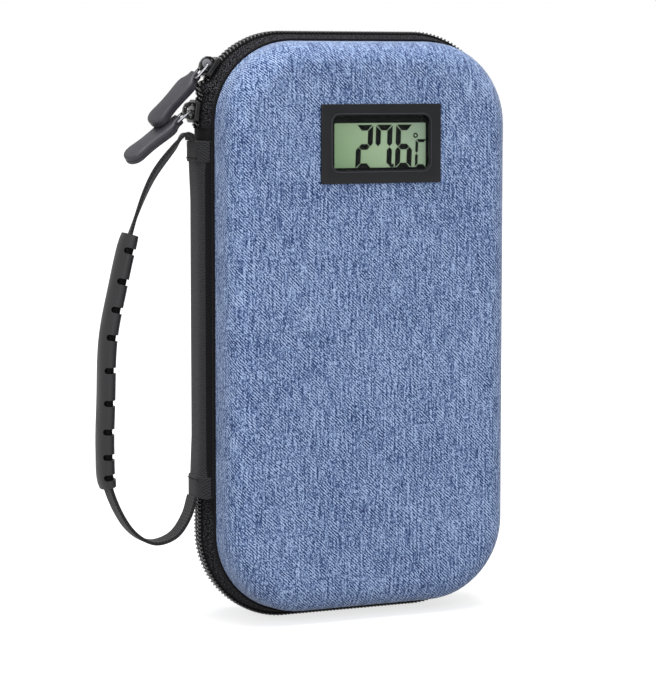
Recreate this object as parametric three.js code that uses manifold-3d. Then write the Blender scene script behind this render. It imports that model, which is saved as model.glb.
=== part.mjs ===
// Hard-shell zip case that keeps insulin pens cool, with a thermometer in its lid.
// Millimetres. X runs to the right, Y to the back and Z up, as the case stands in use.
// The zip lies in the plane Y = 0 until the whole case is moved so that its origin is
// the centre of the flat back.
import * as THREE from "three";
import { mergeVertices } from "three/addons/utils/BufferGeometryUtils.js";
import Module from "manifold-3d";

const wasm = await Module();
wasm.setup();

// General clearances and fineness
const clearance = 0.3;
const cutOverrun = 2;
const cornerSteps = 8;
const filletSteps = 5;
const roundSteps = 5;
const wireSides = 6;

// Outline that both halves share, taken at the lid's rim
const outlineWidth = 113;
const outlineHeight = 208;
const outlineCorner = 30;

// Lid half
const lidRimY = -9;
const lidDepth = 16;
const lidDraft = 1;
const lidFillet = 8.7;
const lidWall = 3.5;

// Base half
const baseRimY = 8;
const baseDepth = 14;
const baseInset = 1.5;
const baseDraft = 0.6;
const baseFillet = 11;
const baseWall = 3.5;

// Lining bonded inside each half
const liningThickness = 0.8;
const liningRimSetback = 0.4;

// Zip
const tapeThickness = 1;
const tapeStand = 2.4;
const coilWidth = 1.95;
const coilHeight = 1.05;
const coilSlot = 1.5;
const tapeShoulder = 2.2;
const tapeStart = 4.5;
const tapeEnd = 0.9;
const hingeEndAngle = 136;

// Piping sewn round each rim
const pipingRadius = 0.5;

// Hinge panel down the left side
const spineTopDrop = 5.9;
const spineBottomRise = 13.3;
const spineThickness = 1.5;
const spineBulge = 3.6;
const spineFootStand = 0.6;
const spineLiningThickness = 0.7;
const spineLiningSetback = 2.5;
const hemHeight = 7.5;
const hemThickness = 1.25;
const hemSetback = 3;

// Carrying handle: webbing through a rubber grip
const strapWidth = 8;
const strapThickness = 1.25;
const strapSteps = 56;
const strapTwistDegrees = 25;
const strapStand = 1.05;
const strapReach = 33.65;
const strapSplitDrop = 1.2;
const strapSplitDepth = 10.6;
const strapSplitReach = 13.25;
const gripWidth = 11;
const gripThickness = 6.2;
const gripSides = 12;
const gripSteps = 14;
const gripNotchCount = 9;
const gripNotchHeight = 2.2;
const gripNotchFloor = 1.3;
const gripEndMargin = 5.2;

// Zip sliders, built at the right of the corner that they run round
const sliderUpperAngle = 143.5;
const sliderLowerAngle = 172.2;
const sliderHalfAngle = 7;
const sliderPlate = 1.2;
const sliderUnderPlate = 0.9;
const sliderHalfWidth = 3.9;
const sliderFlange = 0.8;
const sliderPostThickness = 0.8;
const sliderPostAngle = 2.6;
const bridgeGap = 2;
const bridgePlate = 1.2;
const bridgeHalfWidth = 1.1;
const bridgeHalfAngle = 5.2;
const bridgeLegAngle = 1.8;

// Zip pulls: a wire bail and a rubber tab
const wireRadius = 0.55;
const bailHalfWidth = 2.9;
const bailLength = 7;
const pullLength = 25.2;
const pullWidth = 8.5;
const pullWaist = 6.9;
const pullThickness = 3.3;
const pullNeck = 3.6;
const pullNeckLength = 2.2;
const pullBevel = 0.9;
const pullUpperAngle = 226.4;
const pullLowerAngle = 216.2;

// Thermometer in the lid
const meterX = 2.2;
const meterDrop = 37;
const bezelWidth = 48;
const bezelHeight = 28.6;
const bezelCorner = 1;
const bezelProud = 1;
const bezelFront = 1.4;
const bezelSideLap = 1.55;
const bezelEndLap = 1.6;
const meterBodyCorner = 1.2;
const meterWall = 1.3;
const bezelBodyDepth = 5.9;
const windowSideMargin = 3.15;
const windowEndMargin = 2.85;
const windowCorner = 2.5;
const windowLift = 0.35;
const lensThickness = 0.8;
const lensMargin = 1;
const panelThickness = 1.8;
const boardThickness = 1.2;
const backBoxDepth = 6.6;
const backBoxFloor = 1.2;
const cellDiameter = 11.6;
const cellHeight = 5.4;
const cellSides = 16;
const cellSpacing = 13.4;
const doorWidth = 28;
const doorHeight = 14.5;
const doorCorner = 1.5;
const clipThickness = 1.2;
const clipHeight = 9;
const clipDepth = 3.2;

// Pocket and gel pack in the lid
const pocketDrop = 27;
const netThickness = 0.6;
const netSetback = 0.1;
const bindingHeight = 6;
const bindingThickness = 1.4;
const packSideMargin = 11.5;
const packTopMargin = 12;
const packBottomMargin = 20;
const packCorner = 10;
const packBevel = 3;

// Elastic pen loops in the base
const loopCount = 3;
const loopSpacing = 29;
const loopInnerWidth = 21;
const loopRise = 17;
const loopBand = 1.2;
const loopFoot = 4;
const loopBandHeight = 20;
const loopUpperZ = 26;
const loopLowerZ = -50;

// Colours and finishes
const blueCloth = new THREE.MeshStandardMaterial({ color: 0x6f8fc4, roughness: 0.95, metalness: 0 });
const blackCloth = new THREE.MeshStandardMaterial({ color: 0x26262a, roughness: 0.95, metalness: 0 });
const liningCloth = new THREE.MeshStandardMaterial({ color: 0x1e1f23, roughness: 0.9, metalness: 0 });
const elasticCloth = new THREE.MeshStandardMaterial({ color: 0x17171a, roughness: 0.9, metalness: 0 });
const coilNylon = new THREE.MeshStandardMaterial({ color: 0x141416, roughness: 0.45, metalness: 0 });
const rubberGrip = new THREE.MeshStandardMaterial({ color: 0x2d2d30, roughness: 0.6, metalness: 0 });
const rubberPull = new THREE.MeshStandardMaterial({ color: 0x4a4a50, roughness: 0.6, metalness: 0 });
const sliderMetal = new THREE.MeshStandardMaterial({ color: 0x1a1a1c, roughness: 0.3, metalness: 0.8 });
const wireMetal = new THREE.MeshStandardMaterial({ color: 0x8c8c90, roughness: 0.25, metalness: 1 });
const bezelPlastic = new THREE.MeshStandardMaterial({ color: 0x101013, roughness: 0.35, metalness: 0 });
const housingPlastic = new THREE.MeshStandardMaterial({ color: 0x18181a, roughness: 0.5, metalness: 0 });
const lensPlastic = new THREE.MeshStandardMaterial({
  color: 0xe8efe8,
  roughness: 0.1,
  metalness: 0,
  transparent: true,
  opacity: 0.3,
});
const crystalGlass = new THREE.MeshStandardMaterial({ color: 0x9fb59a, roughness: 0.3, metalness: 0 });
const boardResin = new THREE.MeshStandardMaterial({ color: 0x1e5a34, roughness: 0.6, metalness: 0 });
const cellSteel = new THREE.MeshStandardMaterial({ color: 0xb9babd, roughness: 0.3, metalness: 1 });
const gelFilm = new THREE.MeshStandardMaterial({ color: 0xcfe2ee, roughness: 0.4, metalness: 0 });

// Derived places
const lidFaceY = lidRimY - lidDepth;
const baseFaceY = baseRimY + baseDepth;
const cornerCentreX = -outlineWidth / 2 + outlineCorner;
const cornerCentreZ = outlineHeight / 2 - outlineCorner;
const coilFloor = tapeStand + clearance;
const coilCrown = coilFloor + coilHeight;
const coilNearY = coilSlot / 2;
const coilFarY = coilNearY + coilWidth;
const lidInnerY = lidFaceY + lidWall;
const lidLiningFaceY = lidInnerY + clearance + liningThickness;
const baseInnerY = baseFaceY - baseWall;
const baseLiningFaceY = baseInnerY - clearance - liningThickness;
const spineMiddleY = (lidRimY + baseRimY) / 2;
const spineFootX = -outlineWidth / 2 - spineFootStand;
const spineTop = cornerCentreZ - spineTopDrop;
const spineBottom = spineBottomRise - cornerCentreZ;
const tapeTop = spineTop + tapeStart;
const tapeBottom = spineBottom - tapeEnd;
const strapRootX = spineFootX - spineBulge - strapStand;
const strapHigh = spineTop + clearance;
const strapLow = spineBottom - clearance;
const strapSplitTop = strapHigh - strapSplitDrop;
const strapSplitBottom = strapLow - strapSplitDepth;
const strapSplitRight = strapRootX - strapSplitReach;
const meterZ = outlineHeight / 2 - meterDrop;
const meterBodyWidth = bezelWidth - 2 * bezelSideLap;
const meterBodyHeight = bezelHeight - 2 * bezelEndLap;
const windowWidth = meterBodyWidth - 2 * windowSideMargin;
const windowHeight = meterBodyHeight - 2 * windowEndMargin;
const pocketTopZ = meterZ - pocketDrop;
const packWidth = outlineWidth - 2 * packSideMargin;
const packTopZ = pocketTopZ - packTopMargin;
const packBottomZ = packBottomMargin - outlineHeight / 2;

function degrees(angle) {
  return THREE.MathUtils.degToRad(angle);
}

// Closed geometry from corner points and triangles, with its faces turned outwards
function closedGeometry(points, triangles) {
  let volume = 0;
  for (const [a, b, c] of triangles) {
    volume += points[a].dot(points[b].clone().cross(points[c]));
  }
  const outward = volume > 0;
  const index = triangles.flatMap(([a, b, c]) => (outward ? [a, b, c] : [a, c, b]));
  const geometry = new THREE.BufferGeometry();
  const flat = points.flatMap((point) => [point.x, point.y, point.z]);
  geometry.setAttribute("position", new THREE.Float32BufferAttribute(flat, 3));
  geometry.setIndex(index);
  return geometry;
}

// Solid for joins and cuts
function solidOf(geometry) {
  const bare = geometry.clone();
  bare.deleteAttribute("normal");
  bare.deleteAttribute("uv");
  const merged = mergeVertices(bare);
  const mesh = new wasm.Mesh({
    numProp: 3,
    vertProperties: new Float32Array(merged.attributes.position.array),
    triVerts: new Uint32Array(merged.index.array),
  });
  return new wasm.Manifold(mesh);
}

function geometryOf(solid) {
  const mesh = solid.getMesh();
  const geometry = new THREE.BufferGeometry();
  geometry.setAttribute("position", new THREE.Float32BufferAttribute(mesh.vertProperties, 3));
  geometry.setIndex(new THREE.Uint32BufferAttribute(mesh.triVerts, 1));
  return geometry;
}

function joined(geometries) {
  return geometryOf(geometries.map(solidOf).reduce((sum, next) => sum.add(next)));
}

function cut(geometry, cutters) {
  return geometryOf(cutters.map(solidOf).reduce((rest, next) => rest.subtract(next), solidOf(geometry)));
}

// Axis-aligned block between two corners
function block(low, high) {
  const size = high.map((value, axis) => value - low[axis]);
  const geometry = new THREE.BoxGeometry(...size);
  geometry.translate(...low.map((value, axis) => value + size[axis] / 2));
  return geometry;
}

// Round rod between two points
function rod(from, to, radius, sides) {
  const span = to.clone().sub(from);
  const geometry = new THREE.CylinderGeometry(radius, radius, span.length(), sides);
  const turn = new THREE.Quaternion().setFromUnitVectors(new THREE.Vector3(0, 1, 0), span.normalize());
  geometry.applyQuaternion(turn);
  geometry.translate((from.x + to.x) / 2, (from.y + to.y) / 2, (from.z + to.z) / 2);
  return geometry;
}

// Rounded rectangle as a flat shape round its own centre
function roundedShape(width, height, radius) {
  const shape = new THREE.Shape();
  const x = width / 2 - radius;
  const y = height / 2 - radius;
  shape.absarc(x, y, radius, 0, Math.PI / 2, false);
  shape.absarc(-x, y, radius, Math.PI / 2, Math.PI, false);
  shape.absarc(-x, -y, radius, Math.PI, Math.PI * 1.5, false);
  shape.absarc(x, -y, radius, Math.PI * 1.5, Math.PI * 2, false);
  return shape;
}

// Flat shape in X and Z, made solid between two depths
function slab(shape, frontY, backY, bevel = 0) {
  const geometry = new THREE.ExtrudeGeometry(shape, {
    depth: backY - frontY - 2 * bevel,
    bevelEnabled: bevel > 0,
    bevelSize: bevel,
    bevelThickness: bevel,
    bevelOffset: -bevel,
    bevelSegments: 2,
    curveSegments: roundSteps,
    steps: 1,
  });
  geometry.rotateX(Math.PI / 2);
  geometry.translate(0, backY - bevel, 0);
  return geometry;
}

// Ring sector in X and Z round the origin, made solid between two depths
function sector(innerRadius, outerRadius, fromDegrees, toDegrees, frontY, backY) {
  const shape = new THREE.Shape();
  shape.absarc(0, 0, outerRadius, degrees(fromDegrees), degrees(toDegrees), false);
  shape.absarc(0, 0, innerRadius, degrees(toDegrees), degrees(fromDegrees), true);
  return slab(shape, frontY, backY);
}

// Points of the shared outline moved outwards by an offset, all the way round
function outlineRing(offset) {
  const ring = [];
  const reachX = outlineWidth / 2 - outlineCorner;
  const reachZ = outlineHeight / 2 - outlineCorner;
  const corners = [[reachX, reachZ], [-reachX, reachZ], [-reachX, -reachZ], [reachX, -reachZ]];
  corners.forEach(([x, z], quarter) => {
    for (let step = 0; step <= cornerSteps; step += 1) {
      const angle = (quarter + step / cornerSteps) * Math.PI / 2;
      const radius = outlineCorner + offset;
      ring.push([x + radius * Math.cos(angle), z + radius * Math.sin(angle)]);
    }
  });
  return ring;
}

// Stations round one corner of the outline, between two angles
function cornerStations(x, z, fromAngle, toAngle) {
  return Array.from({ length: cornerSteps + 1 }, (_, step) => {
    const angle = fromAngle + (toAngle - fromAngle) * step / cornerSteps;
    return {
      x: x + outlineCorner * Math.cos(angle),
      z: z + outlineCorner * Math.sin(angle),
      angle,
    };
  });
}

// Stretch of the zip that stays with the hinge panel: from its upper end into the corner
function hingeEndStations() {
  return [
    { x: -outlineWidth / 2, z: tapeTop, angle: Math.PI },
    ...cornerStations(cornerCentreX, cornerCentreZ, Math.PI, degrees(hingeEndAngle)),
  ];
}

// Stretch of the zip that goes with one half: from there round the outline to the panel's lower end
function rowStations() {
  const corners = [
    [cornerCentreX, cornerCentreZ],
    [-cornerCentreX, cornerCentreZ],
    [-cornerCentreX, -cornerCentreZ],
    [cornerCentreX, -cornerCentreZ],
  ];
  const start = degrees(hingeEndAngle) - clearance / outlineCorner;
  const stations = corners.flatMap(([x, z], quarter) => {
    const from = Math.PI * (1 - quarter / 2);
    return cornerStations(x, z, Math.min(from, start), from - Math.PI / 2);
  });
  return [...stations, { x: -outlineWidth / 2, z: tapeBottom, angle: Math.PI }];
}

// Triangles that join ring after ring of equal length
function bridgeRings(rings, length, looped) {
  const triangles = [];
  const joints = looped ? rings : rings - 1;
  for (let ring = 0; ring < joints; ring += 1) {
    const here = ring * length;
    const next = ((ring + 1) % rings) * length;
    for (let step = 0; step < length; step += 1) {
      const after = (step + 1) % length;
      triangles.push([here + step, here + after, next + after]);
      triangles.push([here + step, next + after, next + step]);
    }
  }
  return triangles;
}

// Solid swept through rings of points that repeat a flat section, with a flat cap at each end
function sweptSolid(rings, section) {
  const length = section.length;
  const triangles = bridgeRings(rings.length, length, false);
  const caps = THREE.ShapeUtils.triangulateShape(section.map(([x, y]) => new THREE.Vector2(x, y)), []);
  const last = (rings.length - 1) * length;
  const runsOn = ([from, to]) => to === (from + 1) % length;
  const forwards = caps.some(([a, b, c]) => [[a, b], [b, c], [c, a]].some(runsOn));
  for (const [a, b, c] of caps) {
    const [first, third] = forwards ? [c, a] : [a, c];
    triangles.push([first, b, third]);
    triangles.push([last + third, last + b, last + first]);
  }
  return closedGeometry(rings.flat(), triangles);
}

// Section of [outward, depth] points carried along stations of the zip
function zipSweep(section, stations) {
  const rings = stations.map((station) => section.map(([outward, depth]) => new THREE.Vector3(
    station.x + outward * Math.cos(station.angle),
    depth,
    station.z + outward * Math.sin(station.angle),
  )));
  return sweptSolid(rings, section);
}

// Shell, lining or ring turned from stations of [offset, depth] round the shared outline
function cup(stations) {
  const ring = stations.map(([offset, depth]) => (
    outlineRing(offset).map(([x, z]) => new THREE.Vector3(x, depth, z))
  ));
  const length = ring[0].length;
  const points = ring.flat();
  const triangles = bridgeRings(stations.length, length, false);
  const firstCentre = points.length;
  points.push(new THREE.Vector3(0, stations[0][1], 0));
  points.push(new THREE.Vector3(0, stations[stations.length - 1][1], 0));
  const last = (stations.length - 1) * length;
  for (let step = 0; step < length; step += 1) {
    const after = (step + 1) % length;
    triangles.push([firstCentre, after, step]);
    triangles.push([firstCentre + 1, last + step, last + after]);
  }
  return closedGeometry(points, triangles);
}

// Closed ring with a round section, sewn round a rim just outside the moulded wall
function pipingRing(inset, rimY) {
  const offset = pipingRadius + clearance - inset;
  const depth = rimY + Math.sign(rimY) * pipingRadius;
  const section = Array.from({ length: wireSides }, (_, side) => {
    const angle = side / wireSides * Math.PI * 2;
    return [offset + pipingRadius * Math.cos(angle), depth + pipingRadius * Math.sin(angle)];
  });
  const ring = section.map(([outward, y]) => (
    outlineRing(outward).map(([x, z]) => new THREE.Vector3(x, y, z))
  ));
  return closedGeometry(ring.flat(), bridgeRings(section.length, ring[0].length, true));
}

// Stations down one side of a moulded half: face, fillet and drafted wall to the rim
function mouldStations(inset, draft, fillet, faceY, rimY) {
  const side = Math.sign(faceY - rimY);
  const stations = [];
  for (let step = 0; step <= filletSteps; step += 1) {
    const angle = step / filletSteps * Math.PI / 2;
    const offset = -inset - draft - fillet + fillet * Math.sin(angle);
    stations.push([offset, faceY - side * fillet * (1 - Math.cos(angle))]);
  }
  stations.push([-inset, rimY]);
  return stations;
}

// Moulded half: the outer skin and the same skin moved inwards by the wall
function mouldedHalf(inset, draft, fillet, wall, faceY, rimY) {
  const side = Math.sign(faceY - rimY);
  const outer = mouldStations(inset, draft, fillet, faceY, rimY);
  const inner = mouldStations(inset + wall, draft, fillet - wall, faceY - side * wall, rimY);
  return cup([...outer, ...inner.reverse()]);
}

function liningCup(inset, draft, fillet, wall, faceY, rimY) {
  const side = Math.sign(faceY - rimY);
  const skin = wall + clearance;
  return mouldedHalf(
    inset + skin,
    draft,
    fillet - skin,
    liningThickness,
    faceY - side * skin,
    rimY + side * liningRimSetback,
  );
}

// Zip tape from a rim up to the coil, on one side of the plane Y = 0
function zipTape(rimY, inset, stations) {
  const side = Math.sign(rimY);
  const seatY = rimY - side * clearance;
  const shoulderY = side * (coilFarY + clearance);
  const nearY = side * coilNearY;
  const root = clearance - inset;
  const inside = tapeStand - tapeThickness;
  return zipSweep([
    [root, seatY],
    [tapeShoulder, shoulderY],
    [tapeStand, shoulderY - side * clearance],
    [tapeStand, nearY],
    [inside, nearY],
    [inside, shoulderY],
    [root - tapeThickness, seatY],
  ], stations);
}

function zipCoil(side, stations) {
  const chamfer = coilHeight / 3;
  return zipSweep([
    [coilFloor, side * coilNearY],
    [coilCrown - chamfer, side * coilNearY],
    [coilCrown, side * (coilNearY + chamfer)],
    [coilCrown, side * (coilFarY - chamfer)],
    [coilCrown - chamfer, side * coilFarY],
    [coilFloor, side * coilFarY],
  ], stations);
}

// Curved strip of the hinge panel, with its outer face pushed out and its two feet at the rims
function spineStrip(outset, thickness, setback, bottomZ, topZ) {
  const halfWidth = (baseRimY - lidRimY) / 2 - clearance - setback;
  const outer = [];
  const inner = [];
  const steps = 2 * roundSteps;
  for (let step = 0; step <= steps; step += 1) {
    const place = 2 * step / steps - 1;
    const full = place * halfWidth / (halfWidth + setback);
    const x = spineFootX - outset - spineBulge * (1 - full ** 4);
    const y = spineMiddleY + place * halfWidth;
    outer.push(new THREE.Vector2(x, y));
    inner.push(new THREE.Vector2(x + thickness, y));
  }
  const shape = new THREE.Shape([...outer, ...inner.reverse()]);
  const geometry = new THREE.ExtrudeGeometry(shape, { depth: topZ - bottomZ, bevelEnabled: false });
  geometry.translate(0, 0, bottomZ);
  return geometry;
}

// Route of the handle's webbing from the upper sewn end to the lower one: how far it stands out
// as a share of its reach, and its height as a share of the height between the two ends
const strapRouteShares = [
  [0, 1],
  [0.0104, 1.0124],
  [0.0669, 1.0155],
  [0.1679, 0.9861],
  [0.4413, 0.8972],
  [0.6969, 0.7411],
  [0.8484, 0.5896],
  [0.9554, 0.4521],
  [0.9851, 0.2859],
  [1, 0.1461],
  [0.9703, 0.0425],
  [0.7236, -0.0835],
  [0.471, -0.1236],
  [0.2273, -0.1082],
  [0.0728, -0.0572],
  [0, 0],
];
const strapRoute = strapRouteShares.map(([outward, height]) => (
  [strapRootX - outward * strapReach, strapLow + height * (strapHigh - strapLow)]
));
const gripFirstIndex = 5;
const gripLastIndex = 10;
const strapCurve = new THREE.CatmullRomCurve3(strapRoute.map(([x, z]) => new THREE.Vector3(x, 0, z)));
const gripStart = gripFirstIndex / (strapRoute.length - 1);
const gripEnd = gripLastIndex / (strapRoute.length - 1);

// Place on the strap's curve, with directions along it, towards the case and across
function strapFrame(share, twist) {
  const along = strapCurve.getTangent(share);
  const across = new THREE.Vector3(0, 1, 0);
  const towards = new THREE.Vector3().crossVectors(along, across).normalize();
  const side = towards.clone().multiplyScalar(Math.cos(twist)).addScaledVector(across, Math.sin(twist));
  const width = across.clone().multiplyScalar(Math.cos(twist)).addScaledVector(towards, -Math.sin(twist));
  return { origin: strapCurve.getPoint(share), along, side, width };
}

// Section of [side, width] points carried along a stretch of the strap's curve
function strapSweep(section, fromShare, toShare, steps, twistAt) {
  const rings = [];
  for (let step = 0; step <= steps; step += 1) {
    const share = fromShare + (toShare - fromShare) * step / steps;
    const { origin, side, width } = strapFrame(share, twistAt(share));
    rings.push(section.map(([towards, across]) => (
      origin.clone().addScaledVector(side, towards).addScaledVector(width, across)
    )));
  }
  return sweptSolid(rings, section);
}

function flatSection(thickness, width) {
  const x = thickness / 2;
  const y = width / 2;
  return [[-x, -y], [x, -y], [x, y], [-x, y]];
}

// The webbing turns edge-on halfway between its upper end and the grip
function strapTwist(share) {
  if (share <= 0 || share >= gripStart) {
    return 0;
  }
  return degrees(strapTwistDegrees) * Math.sin(Math.PI * share / gripStart);
}

// Whole strap, cut level where its sewn ends stop and the swinging loop starts
function strapPieces() {
  const whole = strapSweep(flatSection(strapThickness, strapWidth), 0, 1, strapSteps, strapTwist);
  const farLeft = -outlineWidth;
  const farDown = -outlineHeight;
  const farUp = outlineHeight;
  const half = outlineWidth;
  const solid = solidOf(whole);
  const above = solidOf(block([farLeft, -half, strapSplitTop], [0, half, farUp]));
  const lowRight = solidOf(block([strapSplitRight, -half, strapSplitBottom], [0, half, 0]));
  const aboveGap = solidOf(block([farLeft, -half, strapSplitTop - clearance], [0, half, farUp]));
  const lowGap = solidOf(block([strapSplitRight, -half, strapSplitBottom - clearance], [0, half, 0]));
  const below = solidOf(block([farLeft, -half, farDown], [0, half, strapSplitTop]));
  return {
    top: geometryOf(solid.intersect(above)),
    bottom: geometryOf(solid.intersect(lowRight).intersect(below)),
    loop: geometryOf(solid.subtract(aboveGap).subtract(lowGap)),
  };
}

// Grip: an oval rubber sleeve with notches towards the fingers and a slot for the webbing
function gripGeometry() {
  const section = Array.from({ length: gripSides }, (_, side) => {
    const angle = side / gripSides * Math.PI * 2;
    return [gripThickness / 2 * Math.cos(angle), gripWidth / 2 * Math.sin(angle)];
  });
  const noTwist = () => 0;
  const sleeve = strapSweep(section, gripStart, gripEnd, gripSteps, noTwist);
  const spare = (gripEnd - gripStart) / gripSteps;
  const slotSection = flatSection(strapThickness + 2 * clearance, strapWidth + 2 * clearance);
  const slot = strapSweep(slotSection, gripStart - spare, gripEnd + spare, gripSteps + 2, noTwist);
  const gripLength = strapCurve.getPoint(gripStart).distanceTo(strapCurve.getPoint(gripEnd));
  const marginShare = (gripEnd - gripStart) * gripEndMargin / gripLength;
  const notches = [];
  for (let place = 0; place < gripNotchCount; place += 1) {
    const along = place / (gripNotchCount - 1);
    const share = gripStart + marginShare + along * (gripEnd - gripStart - 2 * marginShare);
    notches.push(gripNotch(strapFrame(share, 0)));
  }
  return cut(sleeve, [slot, ...notches]);
}

// Round-ended cutter for one notch of the grip
function gripNotch(frame) {
  const reach = gripWidth + cutOverrun;
  const radius = gripNotchHeight / 2;
  const floor = gripNotchFloor + radius;
  const round = new THREE.CylinderGeometry(radius, radius, reach, 2 * wireSides);
  round.translate(floor, 0, 0);
  const open = new THREE.BoxGeometry(gripThickness, reach, gripNotchHeight);
  open.translate(floor + gripThickness / 2, 0, 0);
  const cutter = joined([round, open]);
  const basis = new THREE.Matrix4().makeBasis(frame.side, frame.width, frame.along);
  if (basis.determinant() < 0) {
    basis.makeBasis(frame.side, frame.width, frame.along.clone().negate());
  }
  cutter.applyMatrix4(basis.setPosition(frame.origin));
  return cutter;
}

// Slider built at angle zero round the corner's centre
const sliderFloor = outlineCorner + coilCrown + clearance;
const sliderTop = sliderFloor + sliderPlate;
const underTop = outlineCorner + tapeStand - tapeThickness - clearance;
const bridgeFloor = sliderTop + bridgeGap;
const pivotRadius = sliderTop + bridgeGap / 2;

function sliderGeometry() {
  const half = sliderHalfAngle;
  const wide = sliderHalfWidth;
  const flangeFloor = outlineCorner + coilFloor + clearance;
  const flangeNear = wide - sliderFlange;
  const post = sliderPostThickness / 2;
  const overlap = clearance;
  const legTop = bridgeFloor + bridgePlate;
  const bridge = bridgeHalfAngle;
  const leg = bridge - bridgeLegAngle;
  const legFloor = sliderTop - overlap;
  return joined([
    sector(sliderFloor, sliderTop, -half, half, -wide, wide),
    sector(flangeFloor, sliderFloor + overlap, -half, half, -wide, -flangeNear),
    sector(flangeFloor, sliderFloor + overlap, -half, half, flangeNear, wide),
    sector(underTop - sliderUnderPlate, underTop, -half, half, -flangeNear, flangeNear),
    sector(underTop - overlap, sliderFloor + overlap, -sliderPostAngle, sliderPostAngle, -post, post),
    sector(bridgeFloor, legTop, -bridge, bridge, -bridgeHalfWidth, bridgeHalfWidth),
    sector(legFloor, legTop - overlap, -bridge, -leg, -bridgeHalfWidth, bridgeHalfWidth),
    sector(legFloor, legTop - overlap, leg, bridge, -bridgeHalfWidth, bridgeHalfWidth),
  ]);
}

// Wire bail from the pivot towards the tab, built along X
function bailGeometry() {
  const near = (y) => new THREE.Vector3(0, y, 0);
  const far = (y) => new THREE.Vector3(bailLength, y, 0);
  const overlap = wireRadius / 2;
  const arm = bailHalfWidth;
  const rods = [
    rod(near(-arm - overlap), near(arm + overlap), wireRadius, wireSides),
    rod(far(-arm - overlap), far(arm + overlap), wireRadius, wireSides),
    rod(near(-arm), far(-arm), wireRadius, wireSides),
    rod(near(arm), far(arm), wireRadius, wireSides),
  ];
  return joined(rods);
}

// Rubber tab: waisted outline with round ends, and a bored neck for the bail
function pullGeometry() {
  const neckStart = bailLength - pullNeckLength;
  const bodyStart = bailLength + wireRadius + clearance;
  const end = neckStart + pullLength;
  const radius = pullWidth / 2;
  const waistX = (bodyStart + end) / 2;
  const shape = new THREE.Shape();
  shape.moveTo(neckStart, -pullNeck / 2);
  shape.lineTo(bodyStart, -pullNeck / 2);
  shape.quadraticCurveTo(bodyStart, -radius, bodyStart + radius, -radius);
  shape.quadraticCurveTo(waistX, pullWidth / 2 - pullWaist, end - radius, -radius);
  shape.absarc(end - radius, 0, radius, -Math.PI / 2, Math.PI / 2, false);
  shape.quadraticCurveTo(waistX, pullWaist - pullWidth / 2, bodyStart + radius, radius);
  shape.quadraticCurveTo(bodyStart, radius, bodyStart, pullNeck / 2);
  shape.lineTo(neckStart, pullNeck / 2);
  shape.closePath();
  const body = new THREE.ExtrudeGeometry(shape, {
    depth: pullThickness - 2 * pullBevel,
    bevelEnabled: true,
    bevelSize: pullBevel,
    bevelThickness: pullBevel,
    bevelOffset: -pullBevel,
    bevelSegments: 2,
    curveSegments: roundSteps,
  });
  body.translate(0, 0, pullBevel - pullThickness / 2);
  const holeRadius = wireRadius + clearance;
  const hole = rod(
    new THREE.Vector3(bailLength, -pullWidth, 0),
    new THREE.Vector3(bailLength, pullWidth, 0),
    holeRadius,
    wireSides,
  );
  return cut(body, [hole]);
}

// Depths of the thermometer's pieces, from its front to its back
const bezelFrontY = lidFaceY - bezelProud;
const flangeBackY = lidFaceY - clearance;
const lensFrontY = bezelFrontY + bezelFront + clearance;
const lensBackY = lensFrontY + lensThickness;
const panelFrontY = lensBackY + clearance;
const panelBackY = panelFrontY + panelThickness;
const boardFrontY = panelBackY + clearance;
const boardBackY = boardFrontY + boardThickness;
const bezelBackY = flangeBackY + bezelBodyDepth;
const backBoxFrontY = bezelBackY + clearance;
const backBoxBackY = backBoxFrontY + backBoxDepth;

function meterSlab(width, height, corner, frontY, backY, liftZ = 0) {
  const geometry = slab(roundedShape(width, height, corner), frontY, backY);
  geometry.translate(meterX, 0, meterZ + liftZ);
  return geometry;
}

function bezelGeometry() {
  const flange = meterSlab(bezelWidth, bezelHeight, bezelCorner, bezelFrontY, flangeBackY);
  const body = meterSlab(
    meterBodyWidth, meterBodyHeight, meterBodyCorner, flangeBackY - clearance, bezelBackY,
  );
  const window = meterSlab(
    windowWidth, windowHeight, windowCorner, bezelFrontY - cutOverrun, lensBackY, windowLift,
  );
  const hollow = meterSlab(
    meterBodyWidth - 2 * meterWall,
    meterBodyHeight - 2 * meterWall,
    meterBodyCorner,
    bezelFrontY + bezelFront,
    bezelBackY + cutOverrun,
  );
  return cut(joined([flange, body]), [window, hollow]);
}

function insideMeter(frontY, backY) {
  const play = 2 * (meterWall + clearance);
  return meterSlab(meterBodyWidth - play, meterBodyHeight - play, meterBodyCorner, frontY, backY);
}

function backBoxGeometry() {
  const outer = meterSlab(
    meterBodyWidth, meterBodyHeight, meterBodyCorner, backBoxFrontY, backBoxBackY,
  );
  const hollow = meterSlab(
    meterBodyWidth - 2 * meterWall,
    meterBodyHeight - 2 * meterWall,
    meterBodyCorner,
    backBoxFrontY - cutOverrun,
    backBoxBackY - backBoxFloor,
  );
  const door = meterSlab(
    doorWidth + 2 * clearance,
    doorHeight + 2 * clearance,
    doorCorner,
    backBoxFrontY,
    backBoxBackY + cutOverrun,
  );
  return cut(outer, [hollow, door]);
}

function cellGeometry(side) {
  const backY = backBoxBackY - backBoxFloor - clearance;
  return rod(
    new THREE.Vector3(meterX + side * cellSpacing / 2, backY - cellHeight, meterZ),
    new THREE.Vector3(meterX + side * cellSpacing / 2, backY, meterZ),
    cellDiameter / 2,
    cellSides,
  );
}

// Wedge clip that holds the thermometer from inside the lid
function clipGeometry(side) {
  const nearX = meterX + side * (meterBodyWidth / 2 + clearance);
  const farX = nearX + side * clipThickness;
  const frontY = lidLiningFaceY + clearance;
  const low = [Math.min(nearX, farX), frontY, meterZ - clipHeight / 2];
  const high = [Math.max(nearX, farX), frontY + clipDepth, meterZ + clipHeight / 2];
  return block(low, high);
}

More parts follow.
